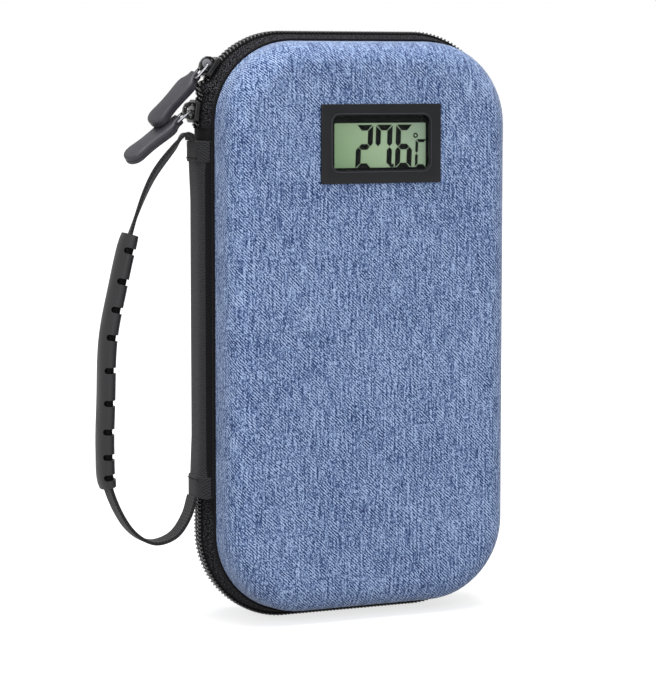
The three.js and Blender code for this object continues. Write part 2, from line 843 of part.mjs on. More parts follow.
function meterCutter(frontY, backY) {
  return meterSlab(
    meterBodyWidth + 2 * clearance,
    meterBodyHeight + 2 * clearance,
    meterBodyCorner + clearance,
    frontY,
    backY,
  );
}

// Pocket panel that fills the lid's width below the thermometer
function pocketPanel(bottomZ, topZ, frontY, backY) {
  const offset = -(lidWall + liningThickness + 2 * clearance);
  const ring = outlineRing(offset);
  const shape = new THREE.Shape(ring.map(([x, z]) => new THREE.Vector2(x, z)));
  const whole = solidOf(slab(shape, frontY, backY));
  const band = block(
    [-outlineWidth, frontY - cutOverrun, bottomZ],
    [outlineWidth, backY + cutOverrun, topZ],
  );
  return geometryOf(whole.intersect(solidOf(band)));
}

function gelPackGeometry() {
  const frontY = lidLiningFaceY + clearance;
  const backY = lidRimY - netSetback - netThickness - clearance;
  const outline = roundedShape(packWidth, packTopZ - packBottomZ, packCorner);
  const geometry = slab(outline, frontY, backY, packBevel);
  geometry.translate(0, 0, (packBottomZ + packTopZ) / 2);
  return geometry;
}

// Elastic band that rises over each pen and is sewn down between them
function penLoopGeometry(bottomZ) {
  const floorY = baseLiningFaceY - clearance;
  const outer = [];
  const inner = [];
  const firstX = -(loopCount - 1) / 2 * loopSpacing;
  const steps = 2 * roundSteps;
  const innerReach = loopInnerWidth / 2;
  const endX = firstX - innerReach - loopBand - loopFoot;
  outer.push([endX, loopBand]);
  inner.push([endX, 0]);
  for (let loop = 0; loop < loopCount; loop += 1) {
    const centre = firstX + loop * loopSpacing;
    for (let step = 0; step <= steps; step += 1) {
      const angle = Math.PI * (1 - step / steps);
      const lift = Math.sin(angle);
      inner.push([centre + innerReach * Math.cos(angle), loopRise * lift]);
      const outerX = centre + (innerReach + loopBand) * Math.cos(angle);
      outer.push([outerX, Math.max(loopBand, (loopRise + loopBand) * lift)]);
    }
  }
  outer.push([-endX, loopBand]);
  inner.push([-endX, 0]);
  const contour = [...outer, ...inner.reverse()].map(([x, rise]) => new THREE.Vector2(x, floorY - rise));
  const geometry = new THREE.ExtrudeGeometry(new THREE.Shape(contour), {
    depth: loopBandHeight,
    bevelEnabled: false,
  });
  geometry.translate(0, 0, bottomZ);
  return geometry;
}

function part(name, geometry, material) {
  const mesh = new THREE.Mesh(geometry, material);
  mesh.name = name;
  return mesh;
}

function baseHalf() {
  const group = new THREE.Group();
  const shell = mouldedHalf(baseInset, baseDraft, baseFillet, baseWall, baseFaceY, baseRimY);
  const lining = liningCup(baseInset, baseDraft, baseFillet, baseWall, baseFaceY, baseRimY);
  group.add(
    part("base_shell", shell, blueCloth),
    part("base_lining", lining, liningCloth),
    part("base_piping", pipingRing(baseInset, baseRimY), blackCloth),
    part("base_zip_tape", zipTape(baseRimY, baseInset, rowStations()), blackCloth),
    part("base_zip_coil", zipCoil(1, rowStations()), coilNylon),
    part("pen_loops_upper", penLoopGeometry(loopUpperZ), elasticCloth),
    part("pen_loops_lower", penLoopGeometry(loopLowerZ), elasticCloth),
  );
  return group;
}

function lidHalf() {
  const group = new THREE.Group();
  const shell = mouldedHalf(0, lidDraft, lidFillet, lidWall, lidFaceY, lidRimY);
  const lining = liningCup(0, lidDraft, lidFillet, lidWall, lidFaceY, lidRimY);
  const cutter = meterCutter(lidFaceY - cutOverrun, lidLiningFaceY + cutOverrun);
  const netBackY = lidRimY - netSetback;
  const netFrontY = netBackY - netThickness;
  const bindingBottom = pocketTopZ + clearance;
  group.add(
    part("lid_shell", cut(shell, [cutter]), blueCloth),
    part("lid_lining", cut(lining, [cutter]), liningCloth),
    part("lid_piping", pipingRing(0, lidRimY), blackCloth),
    part("lid_zip_tape", zipTape(lidRimY, 0, rowStations()), blackCloth),
    part("lid_zip_coil", zipCoil(-1, rowStations()), coilNylon),
    part("pocket_net", pocketPanel(-outlineHeight, pocketTopZ, netFrontY, netBackY), elasticCloth),
    part("pocket_binding", pocketPanel(
      bindingBottom, bindingBottom + bindingHeight, netBackY - bindingThickness, netBackY,
    ), elasticCloth),
    part("gel_pack", gelPackGeometry(), gelFilm),
  );
  return group;
}

function thermometer() {
  const group = new THREE.Group();
  const doorFrontY = backBoxBackY - backBoxFloor;
  const lens = meterSlab(
    windowWidth + lensMargin, windowHeight + lensMargin, windowCorner, lensFrontY, lensBackY, windowLift,
  );
  group.add(
    part("thermometer_bezel", bezelGeometry(), bezelPlastic),
    part("thermometer_lens", lens, lensPlastic),
    part("crystal_display", insideMeter(panelFrontY, panelBackY), crystalGlass),
    part("circuit_board", insideMeter(boardFrontY, boardBackY), boardResin),
    part("thermometer_back", backBoxGeometry(), housingPlastic),
    part("battery_cover", meterSlab(
      doorWidth, doorHeight, doorCorner, doorFrontY, backBoxBackY,
    ), housingPlastic),
    part("button_cell_left", cellGeometry(-1), cellSteel),
    part("button_cell_right", cellGeometry(1), cellSteel),
    part("retaining_clip_left", clipGeometry(-1), housingPlastic),
    part("retaining_clip_right", clipGeometry(1), housingPlastic),
  );
  return group;
}

function spine(strap) {
  const group = new THREE.Group();
  const hemOutset = hemThickness + clearance;
  const liningOutset = -(spineThickness + clearance);
  const hem = (bottomZ) => spineStrip(hemOutset, hemThickness, hemSetback, bottomZ, bottomZ + hemHeight);
  group.add(
    part("spine_panel", spineStrip(0, spineThickness, 0, spineBottom, spineTop), blackCloth),
    part("spine_lining", spineStrip(
      liningOutset, spineLiningThickness, spineLiningSetback, spineBottom, spineTop,
    ), liningCloth),
    part("spine_hem_upper", hem(spineTop - hemHeight), blackCloth),
    part("spine_hem_lower", hem(spineBottom), blackCloth),
    part("hinge_tape_base", zipTape(baseRimY, 0, hingeEndStations()), blackCloth),
    part("hinge_tape_lid", zipTape(lidRimY, 0, hingeEndStations()), blackCloth),
    part("hinge_coil_base", zipCoil(1, hingeEndStations()), coilNylon),
    part("hinge_coil_lid", zipCoil(-1, hingeEndStations()), coilNylon),
    part("strap_end_upper", strap.top, blackCloth),
    part("strap_end_lower", strap.bottom, blackCloth),
  );
  return group;
}

function handle(strap) {
  const group = new THREE.Group();
  group.add(
    part("handle_strap", strap.loop, blackCloth),
    part("handle_grip", gripGeometry(), rubberGrip),
  );
  return group;
}

// Slider with its bail and tab, turned to its place round the corner
function slider(place, sliderAngle, pullAngle) {
  const group = new THREE.Group();
  group.position.set(cornerCentreX, 0, cornerCentreZ);
  group.rotation.y = -degrees(sliderAngle);
  const pull = new THREE.Group();
  pull.position.x = pivotRadius;
  pull.rotation.y = -degrees(pullAngle - sliderAngle);
  pull.add(
    part(`zip_bail_${place}`, bailGeometry(), wireMetal),
    part(`zip_pull_${place}`, pullGeometry(), rubberPull),
  );
  group.add(part(`zip_slider_${place}`, sliderGeometry(), sliderMetal), pull);
  return group;
}

const insulinCase = new THREE.Group();
const strap = strapPieces();
insulinCase.add(
  baseHalf(),
  lidHalf(),
  thermometer(),
  spine(strap),
  handle(strap),
  slider("upper", sliderUpperAngle, pullUpperAngle),
  slider("lower", sliderLowerAngle, pullLowerAngle),
);
insulinCase.position.y = -baseFaceY;

export default insulinCase;
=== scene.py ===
"""Looks of a hard-shell zip case with a panel thermometer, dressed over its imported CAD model.

Metres. X runs to the right, Y to the back and Z up. The origin is the centre of the flat back.
"""

import logging
import math
from collections.abc import Callable, Iterator, Sequence
from contextlib import contextmanager
from dataclasses import dataclass
from enum import Enum

import bmesh
import bpy
from mathutils import Matrix, Vector


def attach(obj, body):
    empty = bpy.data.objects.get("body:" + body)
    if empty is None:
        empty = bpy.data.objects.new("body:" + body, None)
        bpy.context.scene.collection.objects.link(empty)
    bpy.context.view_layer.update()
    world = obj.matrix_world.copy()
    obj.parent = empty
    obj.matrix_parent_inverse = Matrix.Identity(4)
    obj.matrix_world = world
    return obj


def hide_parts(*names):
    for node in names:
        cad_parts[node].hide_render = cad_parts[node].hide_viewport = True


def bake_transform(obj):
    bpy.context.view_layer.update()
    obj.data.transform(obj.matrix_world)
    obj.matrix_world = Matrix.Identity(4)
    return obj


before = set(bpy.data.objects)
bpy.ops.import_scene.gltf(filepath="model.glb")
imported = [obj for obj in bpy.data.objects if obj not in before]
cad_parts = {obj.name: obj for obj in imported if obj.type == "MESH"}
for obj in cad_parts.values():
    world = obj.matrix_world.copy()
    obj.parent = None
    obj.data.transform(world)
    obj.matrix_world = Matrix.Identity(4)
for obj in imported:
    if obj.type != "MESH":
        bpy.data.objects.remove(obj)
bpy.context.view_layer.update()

log = logging.getLogger("case")

MM = 0.001
TINY = 1e-6
MERGE = 10 * TINY
ALIGNED = 0.9
SQUARE = 0.1
ZIP_Y = -22 * MM
CLEARANCE = 0.3 * MM
CLOTH_MAP = "Cloth"
VIEW_AZIMUTH = 24.8
UPRIGHT = Matrix.Identity(4)

Point = tuple[float, float, float]
Pair = tuple[float, float]
Node = bpy.types.Node
Socket = bpy.types.NodeSocket
Test = Callable[[Vector, Vector], bool]


class Pick(Enum):
    """Kind of element that is picked in edit mode."""

    EDGE = "EDGE"
    FACE = "FACE"


class Axis(Enum):
    """An axis, by its place in a vector."""

    X = 0
    Y = 1


def anywhere(place: Vector, direction: Vector) -> bool:
    """Pass every element."""
    return True


def along(axis: Axis) -> Test:
    """Make a test that passes edges along an axis."""
    return lambda place, line: abs(line[axis.value]) > ALIGNED


def across(axis: Axis) -> Test:
    """Make a test that passes edges square to an axis."""
    return lambda place, line: abs(line[axis.value]) < SQUARE


def level(axis: Axis, height: float) -> Test:
    """Make a test that passes what lies at one height along an axis."""
    return lambda place, direction: abs(place[axis.value] - height) < TINY


def front_map(point: Vector) -> Pair:
    """Flat map of a piece that faces the front."""
    return point.x, point.z


def side_map(point: Vector) -> Pair:
    """Flat map of a piece that faces the left."""
    return point.y, point.z


def share_of(value: float) -> float:
    """Keep a share between 0 and 1."""
    return max(0.0, min(1.0, value))


def oval(out: float, depth: float, half_out: float, half_depth: float, sides: int) -> list[Pair]:
    """Corners of an oval section, from its middle, its half sizes and the number of its sides."""
    turns = [2 * math.pi * side / sides for side in range(sides)]
    return [(out + half_out * math.cos(a), depth + half_depth * math.sin(a)) for a in turns]


def pick_all() -> None:
    """Select the whole mesh in edit mode."""
    bpy.ops.mesh.select_all(action="SELECT")


def extrude(*move: float) -> None:
    """Extrude what is picked by a move along X, Y and Z."""
    bpy.ops.mesh.extrude_region_move(TRANSFORM_OT_translate={"value": move})


class Workpiece:
    """A mesh on the bench, shaped with Blender's own tools and then dressed."""

    def __init__(self, thing: bpy.types.Object) -> None:
        """Wrap an object that was just added."""
        self.thing = thing

    @staticmethod
    def clear() -> None:
        """Deselect everything."""
        bpy.ops.object.select_all(action="DESELECT")

    def focus(self) -> None:
        """Select this piece alone."""
        self.clear()
        self.thing.select_set(True)
        bpy.context.view_layer.objects.active = self.thing

    def rename(self, name: str) -> "Workpiece":
        """Name the object and its mesh."""
        self.thing.name = self.thing.data.name = name
        return self

    @classmethod
    def adopt(cls, name: str) -> "Workpiece":
        """Take the primitive that was just added, and put its place into its mesh."""
        bpy.ops.object.transform_apply(location=True, rotation=True, scale=True)
        return cls(bpy.context.object).rename(name)

    @classmethod
    def block(cls, name: str, low: Point, high: Point) -> "Workpiece":
        """Add a block between two corners.

        Args:
            name: The piece's name.
            low: Its lowest corner.
            high: Its highest corner.

        Returns:
            The piece.
        """
        cls.clear()
        centre = [(a + b) / 2 for a, b in zip(low, high)]
        size = [b - a for a, b in zip(low, high)]
        bpy.ops.mesh.primitive_cube_add(size=1, location=centre, scale=size)
        return cls.adopt(name)

    @classmethod
    def rod(cls, name: str, start: Point, end: Point, radius: float, sides: int) -> "Workpiece":
        """Add a round rod between two points.

        Args:
            name: The piece's name.
            start: The middle of one end.
            end: The middle of the other end.
            radius: The rod's radius.
            sides: How many sides it has.

        Returns:
            The piece.
        """
        cls.clear()
        span = Vector(end) - Vector(start)
        bpy.ops.mesh.primitive_cylinder_add(
            vertices=sides,
            radius=radius,
            depth=span.length,
            location=(Vector(start) + Vector(end)) / 2,
            rotation=span.to_track_quat("Z", "Y").to_euler(),
        )
        return cls.adopt(name)

    @classmethod
    def section(cls, name: str, points: Sequence[Point]) -> "Workpiece":
        """Add a closed ring of edges and move its corners to the given points.

        Args:
            name: The piece's name.
            points: The corners in order.

        Returns:
            The piece.
        """
        cls.clear()
        bpy.ops.mesh.primitive_circle_add(vertices=len(points), radius=1, location=(0, 0, 0))
        piece = cls.adopt(name)
        corners = [vertex.co.copy() for vertex in piece.thing.data.vertices]
        with piece.editing():
            for place, (corner, point) in enumerate(zip(corners, points)):
                piece.pick_vertices([place])
                bpy.ops.transform.translate(value=Vector(point) - corner)
        return piece

    @classmethod
    def grid(cls, name: str, low: Point, high: Point, columns: int, rows: int) -> "Workpiece":
        """Add an upright grid of faces between two corners.

        Args:
            name: The piece's name.
            low: Its lowest corner.
            high: Its highest corner, at the same depth.
            columns: How many faces it has along X.
            rows: How many faces it has along Z.

        Returns:
            The piece.
        """
        cls.clear()
        bpy.ops.mesh.primitive_grid_add(x_subdivisions=columns, y_subdivisions=rows, size=1)
        bpy.ops.transform.resize(value=(high[0] - low[0], high[2] - low[2], 1))
        bpy.context.object.rotation_euler = (math.pi / 2, 0, 0)
        bpy.context.object.location = (Vector(low) + Vector(high)) / 2
        return cls.adopt(name)

    def shape(self, rule: Callable[[Vector], Vector]) -> None:
        """Move every vertex to where a rule puts it."""
        for vertex in self.thing.data.vertices:
            vertex.co = rule(vertex.co)

    def move(self, place: Matrix) -> "Workpiece":
        """Move the mesh itself, and turn it right side out if that mirrors it.

        Args:
            place: The matrix of the move.

        Returns:
            This piece.
        """
        self.thing.data.transform(place)
        if place.determinant() < 0:
            self.thing.data.flip_normals()
        return self

    @contextmanager
    def editing(self) -> Iterator["Workpiece"]:
        """Work on the piece in edit mode."""
        self.focus()
        bpy.ops.object.mode_set(mode="EDIT")
        try:
            yield self
        finally:
            bpy.ops.object.mode_set(mode="OBJECT")

    def pick_vertices(self, places: Sequence[int]) -> None:
        """Select only the vertices with these numbers.

        Args:
            places: The numbers.
        """
        bpy.ops.mesh.select_mode(type="VERT")
        bpy.ops.mesh.select_all(action="DESELECT")
        mesh = bmesh.from_edit_mesh(self.thing.data)
        mesh.verts.ensure_lookup_table()
        for place in places:
            mesh.verts[place].select_set(True)
        mesh.select_flush(True)
        bmesh.update_edit_mesh(self.thing.data)

    def pick(self, kind: Pick, test: Test) -> None:
        """Select the elements that pass a test.

        Args:
            kind: Edges or faces.
            test: Called with an edge's middle and direction, or a face's middle and normal.
        """
        bpy.ops.mesh.select_mode(type=kind.value)
        bpy.ops.mesh.select_all(action="DESELECT")
        mesh = bmesh.from_edit_mesh(self.thing.data)
        if kind is Pick.EDGE:
            for edge in mesh.edges:
                start, end = (vertex.co for vertex in edge.verts)
                if test((start + end) / 2, (end - start).normalized()):
                    edge.select_set(True)
        else:
            for face in mesh.faces:
                if test(face.calc_center_median(), face.normal):
                    face.select_set(True)
        bmesh.update_edit_mesh(self.thing.data)

    def round_edges(self, width: float, steps: int, test: Test) -> None:
        """Bevel the edges that pass a test.

        Args:
            width: How far the bevel reaches.
            steps: How many faces it has across.
            test: Called with an edge's middle and direction.
        """
        with self.editing():
            self.pick(Pick.EDGE, test)
            bpy.ops.mesh.bevel(offset=width, offset_type="OFFSET", segments=steps, affect="EDGES")

    def close(self, merge: float = TINY) -> "Workpiece":
        """Merge doubles, fill open ends and turn all faces outwards.

        Args:
            merge: How near two corners are that become one.

        Returns:
            This piece.
        """
        with self.editing():
            bpy.ops.mesh.select_mode(type="VERT")
            pick_all()
            bpy.ops.mesh.remove_doubles(threshold=merge)
            bpy.ops.mesh.fill_holes(sides=0)
            pick_all()
            bpy.ops.mesh.normals_make_consistent(inside=False)
        return self

    def pull(self, *move: float, steps: int = 1) -> "Workpiece":
        """Fill this section and extrude it into a closed bar.

        Args:
            *move: How far each step goes along X, Y and Z.
            steps: How many steps there are.

        Returns:
            This piece, now a solid.
        """
        with self.editing():
            pick_all()
            bpy.ops.mesh.edge_face_add()
            for _ in range(steps):
                extrude(*move)
        return self.close()

    def modify(self, kind: str, **settings: object) -> None:
        """Add a modifier with these settings and apply it.

        Args:
            kind: The modifier's type.
            **settings: Its settings by name.
        """
        self.focus()
        modifier = self.thing.modifiers.new(kind.title(), kind)
        for name, value in settings.items():
            setattr(modifier, name, value)
        bpy.ops.object.modifier_apply(modifier=modifier.name)

    def carve(self, cutter: "Workpiece", operation: str = "DIFFERENCE") -> None:
        """Cut another piece out of this one, or add it, and throw the other away."""
        self.modify("BOOLEAN", object=cutter.thing, operation=operation, solver="EXACT")
        cutter.discard()

    def discard(self) -> None:
        """Remove the piece from the file."""
        mesh = self.thing.data
        bpy.data.objects.remove(self.thing)
        bpy.data.meshes.remove(mesh)

    def copy_to(self, places: Sequence[Matrix]) -> "Workpiece":
        """Copy the piece to several places and join the copies into one piece.

        Args:
            places: The matrix that puts each copy in its place.

        Returns:
            This piece, now made of all the copies.
        """
        self.clear()
        for place in places:
            twin = Workpiece(self.thing.copy())
            twin.thing.data = self.thing.data.copy()
            bpy.context.scene.collection.objects.link(twin.move(place).thing)
            twin.thing.select_set(True)
        name = self.thing.name
        self.discard()
        bpy.context.view_layer.objects.active = bpy.context.selected_objects[0]
        bpy.ops.object.join()
        self.thing = bpy.context.object
        return self.rename(name)

    def join(self, *others: "Workpiece") -> "Workpiece":
        """Join other pieces into this one.

        Args:
            *others: The pieces that are taken in.

        Returns:
            This piece.
        """
        self.focus()
        for other in others:
            other.thing.select_set(True)
        bpy.ops.object.join()
        return self

    def loft(self, stations: Sequence[Matrix]) -> "Workpiece":
        """Carry this section through stations and skin it.

        Args:
            stations: The matrix that puts the section in each place.

        Returns:
            This piece, now a closed skin.
        """
        count = len(self.thing.data.vertices)
        self.copy_to(stations)
        with self.editing():
            for ring in range(len(stations) - 1):
                self.pick_vertices(range(ring * count, (ring + 2) * count))
                bpy.ops.mesh.bridge_edge_loops()
        return self.close()

    def lay_map(self, place: Callable[[Vector], Pair]) -> None:
        """Lay the cloth's flat map over the piece.

        Args:
            place: Gives a corner's place on the map from its point.
        """
        mesh = self.thing.data
        layer = mesh.uv_layers.get(CLOTH_MAP) or mesh.uv_layers.new(name=CLOTH_MAP)
        for corner in mesh.loops:
            layer.data[corner.index].uv = place(mesh.vertices[corner.vertex_index].co)

    def paint(self, *finishes: "Finish") -> None:
        """Give the piece the materials of these finishes."""
        for finish in finishes:
            self.thing.data.materials.append(finish.material())

    def dress(
        self, finish: "Finish", body: str | None, replaces: Sequence[str] = (), smooth_degrees: float = 35
    ) -> bpy.types.Object:
        """Give the piece its finish, its body and the CAD nodes that it stands for.

        Args:
            finish: The finish of the whole piece, where it has none yet.
            body: The CAD body that it rides on, or None to leave it on no body.
            replaces: The CAD nodes that it stands for.
            smooth_degrees: Edges flatter than this are shaded smooth.

        Returns:
            The finished object.
        """
        self.focus()
        bpy.ops.object.shade_smooth_by_angle(angle=math.radians(smooth_degrees))
        if not self.thing.data.materials:
            self.paint(finish)
        if body:
            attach(self.thing, body)
        if replaces:
            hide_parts(*replaces)
        log.info("%s: %d faces", self.thing.name, len(self.thing.data.polygons))
        return self.thing


class Wiring:
    """Adds nodes to one node tree and joins them."""

    def __init__(self, tree: bpy.types.NodeTree) -> None:
        """Start on a tree."""
        self.tree = tree

    def fill(self, node: Node, fed: dict[str | int, object]) -> None:
        """Feed a node's inputs.

        Args:
            node: The node.
            fed: A value or another node's socket for each input.
        """
        for name, value in fed.items():
            if isinstance(value, Socket):
                self.tree.links.new(value, node.inputs[name])
            else:
                node.inputs[name].default_value = value

    def add(self, kind: str, fed: dict[str | int, object] | None = None, **settings: object) -> Node:
        """Add a node.

        Args:
            kind: The node's type.
            fed: A value or another node's socket for each input.
            **settings: Its settings by name.

        Returns:
            The node.
        """
        node = self.tree.nodes.new(kind)
        for name, value in settings.items():
            setattr(node, name, value)
        self.fill(node, fed or {})
        return node

    def calc(self, operation: str, *values: object) -> Socket:
        """Result of a Math node with these numbers or sockets."""
        return self.add("ShaderNodeMath", dict(enumerate(values)), operation=operation).outputs[0]

    def noise(self, place: Socket, scale: float, detail: float = 2, rough: float = 0.5) -> Socket:
        """Noise from 0 to 1 with a scale, a number of octaves and the strength of the fine ones."""
        fed = {"Vector": place, "Scale": scale, "Detail": detail, "Roughness": rough}
        return self.add("ShaderNodeTexNoise", fed).outputs["Fac"]

    def swing(self, place: Socket, scale: float, detail: float = 2, rough: float = 0.5) -> Socket:
        """Noise about zero."""
        return self.calc("SUBTRACT", self.noise(place, scale, detail, rough), 0.5)

    def stretch(self, place: Socket, *scale: float) -> Socket:
        """Scale coordinates by a factor along each axis."""
        return self.add("ShaderNodeMapping", {"Vector": place, "Scale": scale}).outputs[0]

    def split(self, place: Socket) -> Sequence[Socket]:
        """Split coordinates into X, Y and Z."""
        return self.add("ShaderNodeSeparateXYZ", {0: place}).outputs

    def wave(self, value: Socket, period: float, phase: Socket) -> Socket:
        """Sine of a length with a period, with a phase that is added inside it."""
        return self.calc("SINE", self.calc("MULTIPLY_ADD", value, 2 * math.pi / period, phase))

    def ribs(self, value: Socket, period: Socket) -> Socket:
        """Sine of a length with a period that the material gives."""
        return self.calc("SINE", self.calc("MULTIPLY", value, self.calc("DIVIDE", 2 * math.pi, period)))

    def remap(self, value: Socket, old: Pair, new: Pair = (0.0, 1.0), **settings: object) -> Socket:
        """Carry a value from one range over to another."""
        fed = {"Value": value, "From Min": old[0], "From Max": old[1], "To Min": new[0], "To Max": new[1]}
        return self.add("ShaderNodeMapRange", fed, **settings).outputs[0]

    def bump(self, height: Socket, depth: float) -> Socket:
        """Normal of a surface that a pattern raises by at most a depth in metres."""
        return self.add("ShaderNodeBump", {"Strength": 1, "Distance": depth, "Height": height}).outputs[0]

    def ramp(self, share: Socket, stops: Sequence[tuple[float, Point]]) -> Socket:
        """Turn a value into a colour.

        Args:
            share: The value.
            stops: Places with colours as they look on a screen.

        Returns:
            The colour's socket.
        """
        node = self.add("ShaderNodeValToRGB", {0: share})
        elements = node.color_ramp.elements
        while len(elements) < len(stops):
            elements.new(0.5)
        for element, (place, _) in zip(elements, stops):
            element.position = place
        for element, (_, shown) in zip(elements, stops):
            element.color = colour(shown)
        return node.outputs[0]


def colour(shown: Point) -> tuple[float, float, float, float]:
    """Turn a colour as it looks on a screen, 0 to 255, into the linear one that a shader takes.

    Args:
        shown: Red, green and blue.

    Returns:
        The linear colour with an alpha of 1.
    """
    parts = [value / 255 for value in shown]
    parts = [p / 12.92 if p < 0.04045 else ((p + 0.055) / 1.055) ** 2.4 for p in parts]
    return (*parts, 1.0)


@dataclass(frozen=True)
class Heather:
    """Heathered twill: sizes of its yarns in millimetres, and the strength of each pattern."""

    twill_across: float = 1.30
    twill_up: float = 1.22
    twill_drift: float = 5.0
    twill_shade: float = 0.62
    column_gap: float = 1.57
    column_drift: float = 8.0
    column_shade: float = 0.08
    yarn_shade: float = 1.8
    broad_shade: float = 0.4
    middle_shade: float = 0.52
    patch_gain: float = 2.6
    patch_offset: float = -0.8
    patch_least: float = 0.1
    twill_relief: float = 0.25
    yarn_relief: float = 1.2

    def build(self, w: Wiring, given: dict[str, Socket]) -> dict[str, Socket]:
        """Build the nodes: diagonal yarns in patches, upright slubs and flecks.

        Args:
            w: The group's wiring.
            given: The group's inputs.

        Returns:
            The group's outputs.
        """
        place = given["Vector"]
        side, up, _ = w.split(place)
        wander = w.noise(place, 0.5, 1)
        slope = w.calc("MULTIPLY_ADD", up, self.twill_across / self.twill_up, side)
        twill = w.wave(slope, self.twill_across, w.calc("MULTIPLY", wander, self.twill_drift))
        patch = w.noise(w.stretch(place, 1, 0.6, 1), 0.33, 1)
        patch = w.calc("MULTIPLY_ADD", patch, self.patch_gain, self.patch_offset)
        patch = w.calc("MINIMUM", w.calc("MAXIMUM", patch, self.patch_least), 1.0)
        columns = w.wave(side, self.column_gap, w.calc("MULTIPLY", wander, self.column_drift))
        slub = w.swing(w.stretch(place, 1.3, 0.11, 1), 1.0, 2, 0.6)
        yarn = w.swing(w.stretch(place, 1.2, 0.8, 1), 1.0, 1, 0.6)
        fleck = w.swing(place, 2.6, 1, 0.7)
        broad = w.swing(place, 0.035, 3)
        shade = w.calc("MULTIPLY_ADD", w.calc("MULTIPLY", twill, patch), self.twill_shade, self.middle_shade)
        for pattern, strength in (
            (columns, self.column_shade),
            (slub, given["Slub"]),
            (yarn, self.yarn_shade),
            (fleck, given["Fleck"]),
            (broad, self.broad_shade),
        ):
            shade = w.calc("MULTIPLY_ADD", pattern, strength, shade)
        height = w.calc("MULTIPLY_ADD", twill, self.twill_relief, w.calc("MULTIPLY", yarn, self.yarn_relief))
        return {"Shade": shade, "Height": height}


@dataclass(frozen=True)
class Weave:
    """Plain weave, twill, rib or herringbone: the strength of its ribs and wefts."""

    rib_relief: float = 0.3
    weft_relief: float = 0.18
    middle: float = 0.5
    fibre_scale: float = 1.4

    def build(self, w: Wiring, given: dict[str, Socket]) -> dict[str, Socket]:
        """Build the nodes: slanted ribs that can fold back, wefts and uneven fibres.

        Args:
            w: The group's wiring.
            given: The group's inputs.

        Returns:
            The group's outputs.
        """
        length, width, _ = w.split(given["Vector"])
        folded = w.calc("PINGPONG", width, given["Fold"])
        slanted = w.calc("MULTIPLY_ADD", folded, given["Slant"], length)
        fibre = w.swing(given["Vector"], self.fibre_scale, 2, 0.6)
        height = w.calc("MULTIPLY_ADD", w.ribs(slanted, given["Rib"]), self.rib_relief, self.middle)
        height = w.calc("MULTIPLY_ADD", w.ribs(width, given["Weft"]), self.weft_relief, height)
        height = w.calc("MULTIPLY_ADD", fibre, given["Uneven"], height)
        return {"Shade": height, "Height": height}


@dataclass(frozen=True)
class Grain:
    """Moulded or cast grain: the scale of its fine pattern and of its handling marks."""

    fine_scale: float = 1.0
    mark_scale: float = 0.12

    def build(self, w: Wiring, given: dict[str, Socket]) -> dict[str, Socket]:
        """Build the nodes: a fine grain of a given size, and broad marks.

        Args:
            w: The group's wiring.
            given: The group's inputs.

        Returns:
            The group's outputs.
        """
        fed = {0: given["Vector"], "Scale": w.calc("DIVIDE", 1.0, given["Size"])}
        place = w.add("ShaderNodeVectorMath", fed, operation="SCALE")
        fine = w.noise(place.outputs[0], self.fine_scale, 3, 0.6)
        return {"Height": fine, "Marks": w.noise(given["Vector"], self.mark_scale, 3, 0.55)}


@dataclass(frozen=True)
class Effect:
    """A shader node group that several materials share, on coordinates in millimetres."""

    name: str
    pattern: Heather | Weave | Grain
    inputs: tuple[tuple[str, float], ...]
    outputs: tuple[str, ...]

    def tree(self) -> bpy.types.NodeTree:
        """Build the group, or return the one built before.

        Returns:
            The group.
        """
        found = bpy.data.node_groups.get(self.name)
        if found:
            return found
        tree = bpy.data.node_groups.new(self.name, "ShaderNodeTree")
        tree.interface.new_socket(name="Vector", in_out="INPUT", socket_type="NodeSocketVector")
        for key, value in self.inputs:
            socket = tree.interface.new_socket(name=key, in_out="INPUT", socket_type="NodeSocketFloat")
            socket.default_value = value
        for key in self.outputs:
            tree.interface.new_socket(name=key, in_out="OUTPUT", socket_type="NodeSocketFloat")
        wiring = Wiring(tree)
        start = wiring.add("NodeGroupInput")
        given = {socket.name: socket for socket in start.outputs if socket.name}
        wiring.fill(wiring.add("NodeGroupOutput"), self.pattern.build(wiring, given))
        return tree

    def place(self, w: Wiring, vector: Socket, **values: float) -> Sequence[Socket]:
        """Place the group in a material with its own values, and give the group's outputs."""
        return w.add("ShaderNodeGroup", {"Vector": vector, **values}, node_tree=self.tree()).outputs


HEATHERED_TWILL = Effect("Heathered Twill", Heather(), (("Slub", 1.7), ("Fleck", 3.0)), ("Shade", "Height"))
WOVEN_YARNS = Effect(
    "Woven Yarns",
    Weave(),
    (("Rib", 1.0), ("Weft", 0.6), ("Slant", 1.0), ("Fold", 50.0), ("Uneven", 0.6)),
    ("Shade", "Height"),
)
MOULDED_GRAIN = Effect("Moulded Grain", Grain(), (("Size", 0.5),), ("Height", "Marks"))


class Coordinates(Enum):
    """Where a finish reads its pattern's place."""

    MAP = "map"
    OBJECT = "object"


@dataclass(frozen=True)
class Finish:
    """What every finish has: a name, a slot name and where its pattern lies."""

    name: str
    slot: str
    reads: Coordinates = Coordinates.MAP

    def material(self) -> bpy.types.Material:
        """Make the material, or return the one made before.

        Returns:
            The material.
        """
        found = bpy.data.materials.get(self.name)
        if found:
            return found
        material = bpy.data.materials.new(self.name)
        material.use_nodes = True
        wiring = Wiring(material.node_tree)
        wiring.fill(material.node_tree.nodes["Principled BSDF"], self.surface(wiring))
        return material

    def vector(self, w: Wiring) -> Socket:
        """Coordinates of the pattern in millimetres.

        Args:
            w: The material's wiring.

        Returns:
            The coordinates' socket.
        """
        if self.reads is Coordinates.MAP:
            source = w.add("ShaderNodeUVMap", uv_map=CLOTH_MAP).outputs[0]
        else:
            source = w.add("ShaderNodeTexCoord").outputs["Object"]
        return w.stretch(source, 1 / MM, 1 / MM, 1 / MM)

    def surface(self, w: Wiring) -> dict[str, object]:
        """Value or socket for each of the shader's inputs."""
        raise NotImplementedError


